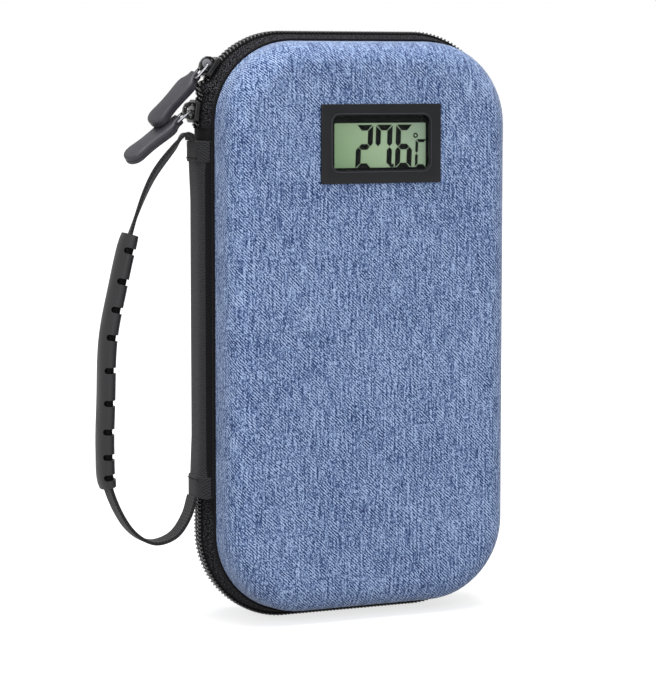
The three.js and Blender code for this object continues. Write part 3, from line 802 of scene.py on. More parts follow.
@dataclass(frozen=True)
class HeatherCloth(Finish):
    """Two-tone heathered cloth."""

    dark: Point = (27, 45, 88)
    middle: Point = (85, 109, 154)
    light: Point = (172, 193, 228)
    slub: float = 1.7
    fleck: float = 3.0
    depth: float = 0.12 * MM

    def surface(self, w: Wiring) -> dict[str, object]:
        """Work out what feeds the shader.

        Args:
            w: The material's wiring.

        Returns:
            A value or a socket for each of the shader's inputs.
        """
        effect = HEATHERED_TWILL.place(w, self.vector(w), Slub=self.slub, Fleck=self.fleck)
        stops = [(0.0, self.dark), (0.5, self.middle), (1.0, self.light)]
        return {
            "Base Color": w.ramp(effect["Shade"], stops),
            "Roughness": 0.92,
            "Specular IOR Level": 0.25,
            "Sheen Weight": 0.25,
            "Sheen Roughness": 0.4,
            "Normal": w.bump(effect["Height"], self.depth),
        }


@dataclass(frozen=True)
class WovenCloth(Finish):
    """One-colour woven, ribbed or knitted fabric."""

    dark: Point = (20, 20, 22)
    light: Point = (70, 70, 74)
    rib: float = 1.0
    weft: float = 0.6
    slant: float = 1.0
    fold: float = 50.0
    uneven: float = 0.6
    depth: float = 0.08 * MM
    roughness: float = 0.85
    sheen: float = 0.1
    start: float = 0.1
    end: float = 0.95
    shine: float = 0.3

    def surface(self, w: Wiring) -> dict[str, object]:
        """Work out what feeds the shader.

        Args:
            w: The material's wiring.

        Returns:
            A value or a socket for each of the shader's inputs.
        """
        values = {"Rib": self.rib, "Weft": self.weft, "Slant": self.slant, "Fold": self.fold}
        effect = WOVEN_YARNS.place(w, self.vector(w), Uneven=self.uneven, **values)
        return {
            "Base Color": w.ramp(effect["Shade"], [(self.start, self.dark), (self.end, self.light)]),
            "Roughness": self.roughness,
            "Specular IOR Level": self.shine,
            "Sheen Weight": self.sheen,
            "Normal": w.bump(effect["Height"], self.depth),
        }


@dataclass(frozen=True)
class Moulded(Finish):
    """Plastic, rubber, resin or metal with a fine grain and handling marks."""

    reads: Coordinates = Coordinates.OBJECT
    dark: Point = (16, 16, 18)
    light: Point = (24, 24, 26)
    size: float = 0.4
    depth: float = 0.01 * MM
    smooth: float = 0.3
    rough: float = 0.5
    metal: float = 0.0
    coat: float = 0.0
    alpha: float = 1.0
    shine: float = 0.25
    marks: Pair = (0.3, 0.7)

    def surface(self, w: Wiring) -> dict[str, object]:
        """Work out what feeds the shader.

        Args:
            w: The material's wiring.

        Returns:
            A value or a socket for each of the shader's inputs.
        """
        effect = MOULDED_GRAIN.place(w, self.vector(w), Size=self.size)
        return {
            "Base Color": w.ramp(effect["Marks"], list(zip(self.marks, (self.dark, self.light)))),
            "Roughness": w.remap(effect["Marks"], self.marks, (self.smooth, self.rough)),
            "Metallic": self.metal,
            "Specular IOR Level": self.shine,
            "Coat Weight": self.coat,
            "Alpha": self.alpha,
            "Normal": w.bump(effect["Height"], self.depth),
        }


@dataclass(frozen=True)
class CrystalPanel(Finish):
    """Green reflective display with painted light: lighter towards its top right as if lit there, and a faint
    painted glow.
    """

    reads: Coordinates = Coordinates.OBJECT
    left: Point = (114, 146, 104)
    middle: Point = (148, 172, 138)
    right: Point = (130, 152, 130)
    centre_x: float = 2.2 * MM
    centre_z: float = 67 * MM
    half_width: float = 18.3 * MM
    lean: float = 0.6
    # Strength of a faint painted glow; the display has no light of its own.
    glow: float = 0.12
    grain: float = 0.15
    depth: float = 0.004 * MM

    def surface(self, w: Wiring) -> dict[str, object]:
        """Work out what feeds the shader.

        Args:
            w: The material's wiring.

        Returns:
            A value or a socket for each of the shader's inputs.
        """
        x, _, z = w.split(w.add("ShaderNodeTexCoord").outputs["Object"])
        # Painted light: the colour grows lighter towards the top right.
        middle = self.centre_x + self.lean * self.centre_z
        ends = (middle - 1.1 * self.half_width, middle + 1.3 * self.half_width)
        share = w.remap(w.calc("MULTIPLY_ADD", z, self.lean, x), ends)
        tint_with_painted_light = w.ramp(share, [(0.0, self.left), (0.45, self.middle), (1.0, self.right)])
        fine = MOULDED_GRAIN.place(w, self.vector(w), Size=self.grain)
        return {
            "Base Color": tint_with_painted_light,
            "Emission Color": tint_with_painted_light,
            "Emission Strength": self.glow,
            "Roughness": 0.35,
            "Normal": w.bump(fine["Height"], self.depth),
        }


BLUE_CLOTH = HeatherCloth("Heathered Blue Cloth", "blue_cloth")
BLACK_CLOTH = WovenCloth(
    "Black Twill", "black_cloth", dark=(12, 12, 14), light=(52, 52, 56), rib=1.1, weft=0.75, uneven=1.0
)
ZIP_TAPE = WovenCloth(
    "Zip Tape", "zip_tape", dark=(2, 2, 3), light=(76, 76, 82),
    rib=0.9, fold=1.6, uneven=3.0, sheen=0.02, start=0.56, shine=0.06,
)
# Near-black: partly the cord's own black, partly painted shade for the shaded groove where the zip tape is
# sewn to the shell.
PIPING_WITH_PAINTED_SHADE = WovenCloth(
    "Piping Cord With Painted Shade", "black_cloth", dark=(4, 4, 5), light=(24, 24, 27),
    rib=0.9, weft=0.5, slant=0.8, sheen=0.02, shine=0.12,
)
LINING = WovenCloth(
    "Lining Knit", "lining_cloth", dark=(34, 35, 40), light=(72, 73, 81),
    rib=0.8, weft=0.8, slant=0.0, uneven=0.5,
)
ELASTIC = WovenCloth(
    "Ribbed Elastic", "elastic", dark=(16, 16, 19), light=(66, 66, 72),
    rib=60.0, weft=1.3, slant=0.0, uneven=0.4, depth=0.12 * MM,
)
WEBBING = WovenCloth(
    "Black Webbing", "black_webbing", dark=(8, 8, 9), light=(44, 44, 47),
    rib=1.25, weft=1.6, slant=0.0, depth=0.14 * MM,
)
ZIP_NYLON = Moulded(
    "Zip Nylon", "zip_nylon", dark=(5, 5, 6), light=(14, 14, 16), smooth=0.14, rough=0.3, shine=0.8
)
GRIP_RUBBER = Moulded(
    "Grip Rubber", "grip_rubber", dark=(25, 24, 26), light=(36, 35, 37),
    size=0.5, depth=0.03 * MM, smooth=0.45, rough=0.6, shine=0.35,
)
# Near-black core inside the grip: painted shade seen through the notches.
GRIP_SHADE_CORE = Moulded(
    "Grip Painted Shade Core", "grip_rubber", dark=(3, 3, 4), light=(8, 8, 9), smooth=0.7, rough=0.85, shine=0.1
)
PULL_RUBBER = Moulded(
    "Tab Rubber", "pull_rubber", dark=(44, 43, 49), light=(58, 57, 63),
    size=0.35, depth=0.02 * MM, smooth=0.38, shine=0.4,
)
SLIDER_METAL = Moulded(
    "Blackened Slider", "slider_metal", dark=(10, 10, 11), light=(24, 24, 26),
    smooth=0.18, rough=0.34, metal=0.4, coat=0.25,
)
WIRE_METAL = Moulded(
    "Bright Wire", "wire_metal", dark=(70, 70, 74), light=(170, 170, 174), smooth=0.12, rough=0.3, metal=1.0
)
# Pale grey disc on the upper slider: painted reflection of the slider's shiny plate.
DISC_PAINTED_REFLECTION = Moulded(
    "Disc Painted Reflection", "slider_metal", dark=(112, 113, 118), light=(136, 137, 142), smooth=0.4, rough=0.55
)
BEZEL = Moulded(
    "Bezel Plastic", "bezel_plastic", dark=(13, 14, 17), light=(18, 19, 22),
    smooth=0.25, rough=0.36, depth=0.003 * MM, shine=0.22,
)
# Pale grey line round the window: painted highlight on the window's edge.
BEZEL_RIM_HIGHLIGHT = Moulded(
    "Bezel Rim Painted Highlight", "bezel_plastic", dark=(50, 52, 57), light=(60, 62, 67), smooth=0.25, rough=0.36, depth=0.0
)
HOUSING = Moulded(
    "Housing Plastic", "housing_plastic", dark=(24, 24, 26), light=(34, 34, 37), smooth=0.45, rough=0.6
)
CLEAR = Moulded(
    "Clear Window", "clear_plastic", dark=(96, 104, 100), light=(110, 118, 114),
    smooth=0.03, rough=0.06, alpha=0.035, depth=0.0, shine=0.5,
)
BOARD = Moulded(
    "Board Resin", "board_resin", dark=(22, 74, 44), light=(34, 96, 58), smooth=0.35, coat=0.4
)
STEEL = Moulded(
    "Cell Steel", "cell_steel", dark=(150, 151, 154), light=(205, 206, 208), smooth=0.2, rough=0.36, metal=1.0
)
GEL = Moulded(
    "Gel Film", "gel_film", dark=(176, 205, 226), light=(206, 226, 240),
    size=6.0, depth=0.25 * MM, smooth=0.2, rough=0.38, coat=0.5, shine=0.5,
)
INK = Moulded(
    "Display Figures", "crystal_glass", dark=(3, 6, 5), light=(6, 10, 8),
    smooth=0.5, rough=0.6, depth=0.0, shine=0.0,
)
# Near-black: partly the display's black border, partly painted shade under the window's edge.
MASK_WITH_PAINTED_SHADE = Moulded(
    "Display Mask With Painted Shade", "crystal_glass", dark=(4, 4, 5), light=(8, 8, 9), smooth=0.4, depth=0.0, shine=0.0
)
CRYSTAL = CrystalPanel("Crystal Panel", "crystal_glass")


@dataclass(frozen=True)
class Outline:
    """Rounded rectangle in X and Z that both halves and the zip follow."""

    width: float = 113 * MM
    height: float = 208 * MM
    corner: float = 30 * MM

    @property
    def reach_x(self) -> float:
        """Distance from the middle to a corner's centre along X."""
        return self.width / 2 - self.corner

    @property
    def reach_z(self) -> float:
        """Distance from the middle to a corner's centre along Z."""
        return self.height / 2 - self.corner

    @property
    def quarter(self) -> float:
        """Length of the outline round one corner."""
        return self.corner * math.pi / 2

    def outward(self, x: float, z: float) -> Pair:
        """Direction away from the outline's core.

        Args:
            x: The point's place along X.
            z: The point's place along Z.

        Returns:
            The direction, or zero inside the core.
        """
        away_x = x - max(-self.reach_x, min(self.reach_x, x))
        away_z = z - max(-self.reach_z, min(self.reach_z, z))
        length = math.hypot(away_x, away_z)
        if length < TINY:
            return 0.0, 0.0
        return away_x / length, away_z / length

    def run(self, x: float, z: float) -> float:
        """Length round the outline to a point, from the upper end of the left side downwards.

        Args:
            x: The point's place along X.
            z: The point's place along Z.

        Returns:
            The length in metres.
        """
        quarter, tall, wide = self.quarter, 2 * self.reach_z, 2 * self.reach_x
        out_x, out_z = self.outward(x, z)
        if out_z == 0 and x < 0:
            return self.reach_z - z
        if out_x < 0 and out_z < 0:
            return tall + self.corner * math.atan2(-out_z, -out_x)
        if out_x == 0 and z < 0:
            return tall + quarter + x + self.reach_x
        if out_x > 0 and out_z < 0:
            return tall + quarter + wide + self.corner * math.atan2(out_x, -out_z)
        if out_z == 0:
            return tall + 2 * quarter + wide + z + self.reach_z
        if out_x > 0:
            return 2 * tall + 2 * quarter + wide + self.corner * math.atan2(out_z, out_x)
        if out_x == 0:
            return 2 * tall + 3 * quarter + wide + self.reach_x - x
        return 2 * tall + 3 * quarter + 2 * wide + self.corner * math.atan2(-out_x, out_z)

    def lie(self, point: Vector) -> Pair:
        """Map that follows the outline: length round it, and depth."""
        return self.run(point.x, point.z), point.y

    def station(self, angle: float) -> Matrix:
        """Matrix at the upper left corner's centre, with X outwards at an angle from +X to +Z."""
        centre = Vector((-self.reach_x, 0, self.reach_z))
        return Matrix.Translation(centre) @ Matrix.Rotation(-math.radians(angle), 4, "Y")

    def stations(self, pitch: float, start: float, end: float) -> list[Matrix]:
        """Matrices of even places with about this pitch between two lengths round the outline."""
        count = max(1, round((end - start) / pitch))
        return [self.place(start + (end - start) * i / count) for i in range(count + 1)]

    def place(self, run: float) -> Matrix:
        """Matrix of a place on the outline.

        Args:
            run: The length round the outline.

        Returns:
            The matrix: X points outwards and Z runs on round the outline.
        """
        x, z, angle = -self.reach_x, self.reach_z, 180.0
        for side in [2 * self.reach_z, 2 * self.reach_x] * 2:
            if run <= side:
                break
            run -= side
            direction = math.radians(angle + 90)
            x += side * math.cos(direction)
            z += side * math.sin(direction)
            if run <= self.quarter:
                angle += math.degrees(run / self.corner)
                run = 0
                break
            run -= self.quarter
            angle += 90
        direction = math.radians(angle + 90)
        x += run * math.cos(direction) + self.corner * math.cos(math.radians(angle))
        z += run * math.sin(direction) + self.corner * math.sin(math.radians(angle))
        return Matrix.Translation((x, 0, z)) @ Matrix.Rotation(-math.radians(angle), 4, "Y")


OUTLINE = Outline()


@dataclass(frozen=True)
class OutlineSweep:
    """Carries a section round the outline with extrusions and spins.

    A profile holds the section's corners as distance outside the outline, and depth.
    """

    steps: int = 14
    end_fineness: int = 4

    def turn(self, centre_x: float, centre_z: float, degrees: float, fine: int = 1) -> None:
        """Spin the picked ring round a corner's centre.

        Args:
            centre_x: The centre's place along X.
            centre_z: The centre's place along Z.
            degrees: How far it turns.
            fine: How many times finer than elsewhere its steps are.
        """
        bpy.ops.mesh.spin(
            steps=max(2, round(fine * self.steps * abs(degrees) / 90)),
            angle=math.radians(degrees),
            center=(centre_x, 0, centre_z),
            axis=(0, 1, 0),
        )

    def section(self, name: str, profile: Sequence[Pair], z: float) -> Workpiece:
        """Add a section at the left side, at a height."""
        left = -OUTLINE.width / 2
        return Workpiece.section(name, [(left - out, y, z) for out, y in profile])

    def under(self, start: float, end: float) -> None:
        """Carry the picked section down the left side, along the bottom and up the right side.

        Args:
            start: The height of the section.
            end: The height at which it ends.
        """
        x, z = OUTLINE.reach_x, OUTLINE.reach_z
        pick_all()
        extrude(0, 0, -z - start)
        self.turn(-x, -z, 90)
        extrude(2 * x, 0, 0)
        self.turn(x, -z, 90)
        extrude(0, 0, z + end)

    def row(
        self, name: str, profile: Sequence[Pair], start: float, end: float, merge: float = TINY
    ) -> Workpiece:
        """Sweep a section from the left side down and round to the upper left corner.

        Args:
            name: The piece's name.
            profile: The section.
            start: The height at which it starts on the left side.
            end: The angle in the upper left corner at which it ends.
            merge: How near two corners are that become one.

        Returns:
            The closed piece.
        """
        x, z = OUTLINE.reach_x, OUTLINE.reach_z
        piece = self.section(name, profile, start)
        with piece.editing():
            self.under(start, z)
            self.turn(x, z, 90)
            extrude(-2 * x, 0, 0)
            self.turn(-x, z, end - 90)
        return piece.close(merge)

    def ring(self, name: str, profile: Sequence[Pair]) -> Workpiece:
        """Sweep a section all the way round."""
        return self.row(name, profile, OUTLINE.reach_z, 180, MERGE)

    def hinge_end(self, name: str, profile: Sequence[Pair], start: float, end: float) -> Workpiece:
        """Sweep a section from the hinge panel's upper end into the upper left corner.

        Args:
            name: The piece's name.
            profile: The section.
            start: The height at which it starts.
            end: The angle in the corner at which it ends.

        Returns:
            The closed piece.
        """
        piece = self.section(name, profile, start)
        with piece.editing():
            pick_all()
            extrude(0, 0, OUTLINE.reach_z - start)
            self.turn(-OUTLINE.reach_x, OUTLINE.reach_z, end - 180, self.end_fineness)
        return piece.close()


SWEEP = OutlineSweep()


@dataclass
class MouldedHalf:
    """One moulded half: cloth-covered shell, lining and piping."""

    name: str
    face_y: float
    rim_y: float
    inset: float
    draft: float
    fillet: float
    opening: tuple[Point, Point] | None = None
    opening_corner: float = 1.5 * MM
    wall: float = 3.5 * MM
    lining: float = 0.8 * MM
    lining_setback: float = 0.4 * MM
    face_rings: Pair = (5 * MM, 8 * MM)
    piping_radius: float = 0.5 * MM
    piping_sink: float = 0.12 * MM
    piping_sides: int = 10
    corner_steps: int = 16
    fillet_steps: int = 10

    @property
    def away(self) -> float:
        """Direction from the rim to the face along Y."""
        return math.copysign(1, self.face_y - self.rim_y)

    def cup(self, name: str, skin: float, setback: float, wall: float, *finishes: Finish) -> Workpiece:
        """Model an open cup from a block.

        Args:
            name: The piece's name.
            skin: How deep it lies under the outside of the half.
            setback: How far its rim stands back.
            wall: Its thickness.
            *finishes: The finish outside, and the one of its rim and inside.

        Returns:
            The cup.
        """
        inset, fillet = self.inset + skin, self.fillet - skin
        face_y, rim_y = self.face_y - self.away * skin, self.rim_y + self.away * setback
        half_x, half_z = OUTLINE.width / 2 - inset, OUTLINE.height / 2 - inset
        low_y, high_y = sorted((face_y, rim_y))
        piece = Workpiece.block(name, (-half_x, low_y, -half_z), (half_x, high_y, half_z))
        piece.round_edges(OUTLINE.corner - inset, self.corner_steps, along(Axis.Y))
        with piece.editing():
            piece.pick(Pick.FACE, lambda place, normal: normal.y * self.away > ALIGNED)
            narrow = ((half_x - self.draft) / half_x, 1, (half_z - self.draft) / half_z)
            bpy.ops.transform.resize(value=narrow, center_override=(0, face_y, 0))
        piece.round_edges(fillet, self.fillet_steps, level(Axis.Y, face_y))
        with piece.editing():
            piece.pick(Pick.FACE, level(Axis.Y, rim_y))
            bpy.ops.mesh.delete(type="FACE")
            piece.pick(Pick.FACE, level(Axis.Y, face_y))
            for width in self.face_rings:
                bpy.ops.mesh.inset(thickness=width)
        self.lay_cloth(piece, face_y, fillet)
        piece.paint(*finishes)
        inner = len(finishes) - 1
        piece.modify(
            "SOLIDIFY",
            thickness=wall,
            offset=-1,
            use_even_offset=True,
            material_offset=inner,
            material_offset_rim=inner,
        )
        if self.opening:
            cutter = Workpiece.block("opening", *self.opening)
            cutter.round_edges(self.opening_corner, 4, along(Axis.Y))
            piece.carve(cutter)
        return piece

    def lay_cloth(self, piece: Workpiece, face_y: float, fillet: float) -> None:
        """Lay the cloth's map over the face and down the walls without stretching it.

        Args:
            piece: The cup.
            face_y: The depth of its face.
            fillet: The radius between face and wall.
        """

        def place(point: Vector) -> Pair:
            """Place of a point on the flat cloth.

            Args:
                point: The point on the cup.

            Returns:
                Its place in metres.
            """
            depth = abs(point.y - face_y)
            if depth < fillet:
                angle = math.acos(1 - depth / fillet)
                extra = fillet * (angle - math.sin(angle))
            else:
                extra = fillet * (math.pi / 2 - 1) + depth - fillet
            out_x, out_z = OUTLINE.outward(point.x, point.z)
            return point.x + out_x * extra, point.z + out_z * extra

        piece.lay_map(place)

    def build(self) -> None:
        """Build and dress the shell, the lining and the piping."""
        shell = self.cup(f"{self.name}_cloth_shell", 0, 0, self.wall, BLUE_CLOTH, PIPING_WITH_PAINTED_SHADE)
        shell.dress(BLUE_CLOTH, self.name, [f"{self.name}_shell"])
        skin = self.wall + CLEARANCE
        lining = self.cup(f"{self.name}_knit_lining", skin, self.lining_setback, self.lining, LINING)
        lining.dress(LINING, self.name, [f"{self.name}_lining"])
        self.build_piping()

    def build_piping(self) -> None:
        """Sew a round piping to the rim; its near-black finish also paints the shade in the groove there."""
        radius = self.piping_radius
        out, depth = radius - self.piping_sink - self.inset, self.rim_y + self.away * radius
        profile = oval(out, depth, radius, radius, self.piping_sides)
        piping = SWEEP.ring(f"{self.name}_rim_piping", profile)
        piping.lay_map(OUTLINE.lie)
        piping.dress(PIPING_WITH_PAINTED_SHADE, self.name, [f"{self.name}_piping"])


class Side(Enum):
    """Which half a row of the zip belongs to, with its direction along Y."""

    BASE = 1
    LID = -1


@dataclass
class Zip:
    """Tapes and coils of the zip, in the stretch of each half and at the hinge panel's end."""

    tape_bottom: float = -61.6 * MM
    tape_top: float = 72.6 * MM
    end_angle: float = 136
    end_gap: float = 0.15
    tape_stand: float = 2.4 * MM
    tape_thickness: float = 0.8 * MM
    coil_floor: float = 2.7 * MM
    coil_height: float = 1.05 * MM
    coil_near: float = 0.75 * MM
    coil_width: float = 1.95 * MM
    closed_core_near: float = 0.02 * MM
    closed_bead_near: float = 0.22 * MM
    core_sink: float = 0.1 * MM
    core_rise: float = 0.45 * MM
    core_slope: float = 0.2 * MM
    pitch: float = 1.42 * MM
    bead_radius: float = 0.46 * MM
    bead_near_tip: float = -0.16 * MM
    bead_far_tip: float = 0.3 * MM
    bead_drop: float = 0.12 * MM
    bead_taper: float = 0.55
    bead_end_gap: float = 0.1 * MM
    slant: float = 22
    slack: float = 2.2 * MM
    slack_from: float = 151
    slack_to: float = 163
    guard_from: float = 146.5
    guard_span: int = 20
    guard_half_width: float = 2.4 * MM
    guard_inside: float = 1.25 * MM
    guard_outside: float = 1.5 * MM

    def tape_profile(self, side: Side, rim: float, inset: float) -> list[Pair]:
        """Section of a tape from the rim to the coil.

        Args:
            side: The half.
            rim: The rim's distance from the zip's middle.
            inset: How far the rim lies inside the outline.

        Returns:
            Its profile.
        """
        outer = [
            (CLEARANCE - inset, rim - CLEARANCE),
            (0.9 * MM, 6.6 * MM),
            (1.75 * MM, 4.6 * MM),
            (2.2 * MM, 3.3 * MM),
            (self.tape_stand, 2.4 * MM),
            (self.tape_stand, self.coil_near),
        ]
        inner = [(out - self.tape_thickness, depth) for out, depth in reversed(outer)]
        return [(out, ZIP_Y + side.value * depth) for out, depth in outer + inner]

    def core_profile(self, side: Side, near: float) -> list[Pair]:
        """Section of the sewn core under the beads.

        Args:
            side: The half.
            near: Its edge next to the zip's middle.

        Returns:
            Its profile.
        """
        floor, top = self.tape_stand - self.core_sink, self.coil_floor + self.core_rise
        far = self.coil_near + self.coil_width
        corners = [(floor, near), (top, near), (top, far - self.core_slope), (floor, far)]
        return [(out, ZIP_Y + side.value * depth) for out, depth in corners]

    def bead(self, near: float) -> Workpiece:
        """Model one turn of the coil: a round bead across the row with tapered ends.

        Args:
            near: The bead's end next to the zip's middle.

        Returns:
            The bead in a station's frame, with X outwards.
        """
        out = self.coil_floor + self.coil_height - self.bead_radius
        far = self.coil_near + self.coil_width
        bead = Workpiece.rod("beads", (out, near, 0), (out, far, 0), self.bead_radius, 6)
        with bead.editing():
            for end, reach in ((near, self.bead_near_tip), (far, self.bead_far_tip)):
                bead.pick(Pick.FACE, level(Axis.Y, end))
                extrude(-self.bead_drop, reach, 0)
                tip = (out - self.bead_drop, end + reach, 0)
                bpy.ops.transform.resize(value=(self.bead_taper, 1, self.bead_taper), center_override=tip)
        return bead

    def beads(self, side: Side, start: float, end: float, near: float) -> Workpiece:
        """Copy the bead along one row.

        Args:
            side: The half.
            start: The first length round the outline.
            end: The last length.
            near: The beads' end next to the zip's middle.

        Returns:
            All the beads as one piece.
        """
        shift = self.pitch / 2 if side is Side.BASE else 0
        lean = Matrix.Rotation(math.radians(self.slant), 4, "X")
        flip = Matrix.Scale(side.value, 4, (0, 1, 0))
        move = Matrix.Translation((0, ZIP_Y, 0))
        stations = OUTLINE.stations(self.pitch, start + shift, end - self.pitch / 2)
        return self.bead(near).copy_to([station @ move @ flip @ lean for station in stations])

    def loosen(self, point: Vector) -> Vector:
        """Let the zip stand out a little between its two sliders.

        Args:
            point: A point of the zip at the hinge panel's end.

        Returns:
            The point on the loose zip.
        """
        x, z = point.x + OUTLINE.reach_x, point.z - OUTLINE.reach_z
        angle = math.degrees(math.atan2(z, x))
        share = (angle - self.slack_from) / (self.slack_to - self.slack_from)
        if not 0 < share < 1:
            return point
        radius = math.hypot(x, z)
        hold = share_of((radius - OUTLINE.corner) / self.tape_stand)
        move = self.slack * hold * math.sin(math.pi * share) ** 2 / radius
        return Vector((point.x + move * x, point.y, point.z + move * z))

    def sew(self, tape: Workpiece, core: Workpiece, beads: Workpiece) -> Workpiece:
        """Map a stretch of tape and its core, and join the beads to the core.

        Args:
            tape: The tape.
            core: The core of the row.
            beads: The row's beads.

        Returns:
            The row.
        """
        tape.lay_map(OUTLINE.lie)
        core.paint(PIPING_WITH_PAINTED_SHADE)
        core.lay_map(OUTLINE.lie)
        beads.paint(ZIP_NYLON)
        return core.join(beads)

    def build(self, halves: dict[Side, MouldedHalf]) -> None:
        """Build and dress all tapes and coils.

        Args:
            halves: The two moulded halves.
        """
        total = OUTLINE.run(-OUTLINE.reach_x - TINY, OUTLINE.height / 2) + OUTLINE.quarter
        start = OUTLINE.reach_z - self.tape_bottom
        end = total - math.radians(180 - self.end_angle) * OUTLINE.corner
        closed = (self.tape_bottom, self.end_angle - self.end_gap)
        opened = (self.tape_top, self.end_angle)
        for side, half in halves.items():
            name, rim = half.name, abs(half.rim_y - ZIP_Y)
            tape = SWEEP.row(f"{name}_woven_tape", self.tape_profile(side, rim, half.inset), *closed)
            core = SWEEP.row(f"{name}_coil_row", self.core_profile(side, self.closed_core_near), *closed)
            beads = self.beads(side, start, end - self.bead_end_gap, self.closed_bead_near)
            row = self.sew(tape, core, beads)
            tape.dress(ZIP_TAPE, name, [f"{name}_zip_tape"])
            row.dress(ZIP_NYLON, name, [f"{name}_zip_coil"], 60)
            tape = SWEEP.hinge_end(f"hinge_woven_tape_{name}", self.tape_profile(side, rim, 0.0), *opened)
            core_profile = self.core_profile(side, self.coil_near)
            core = SWEEP.hinge_end(f"hinge_coil_row_{name}", core_profile, *opened)
            row = self.sew(tape, core, self.beads(side, end + CLEARANCE, total, self.coil_near))
            tape.shape(self.loosen)
            row.shape(self.loosen)
            tape.dress(ZIP_TAPE, "spine", [f"hinge_tape_{name}"])
            row.dress(ZIP_NYLON, "spine", [f"hinge_coil_{name}"], 60)
        self.build_guard()

    def build_guard(self) -> None:
        """Lay a narrow strip of tape behind the open rows between the two sliders."""
        low, high = OUTLINE.corner + self.guard_inside, OUTLINE.corner + self.guard_outside
        half = self.guard_half_width
        corners = [(low, -half), (low, half), (high, half), (high, -half)]
        guard = Workpiece.section("hinge_guard_tape", [(x, ZIP_Y + y, 0) for x, y in corners])
        guard.loft([OUTLINE.station(self.guard_from + step) for step in range(self.guard_span + 1)])
        guard.lay_map(OUTLINE.lie)
        guard.dress(PIPING_WITH_PAINTED_SHADE, "spine")


class Which(Enum):
    """One of the two sliders."""

    UPPER = "upper"
    LOWER = "lower"


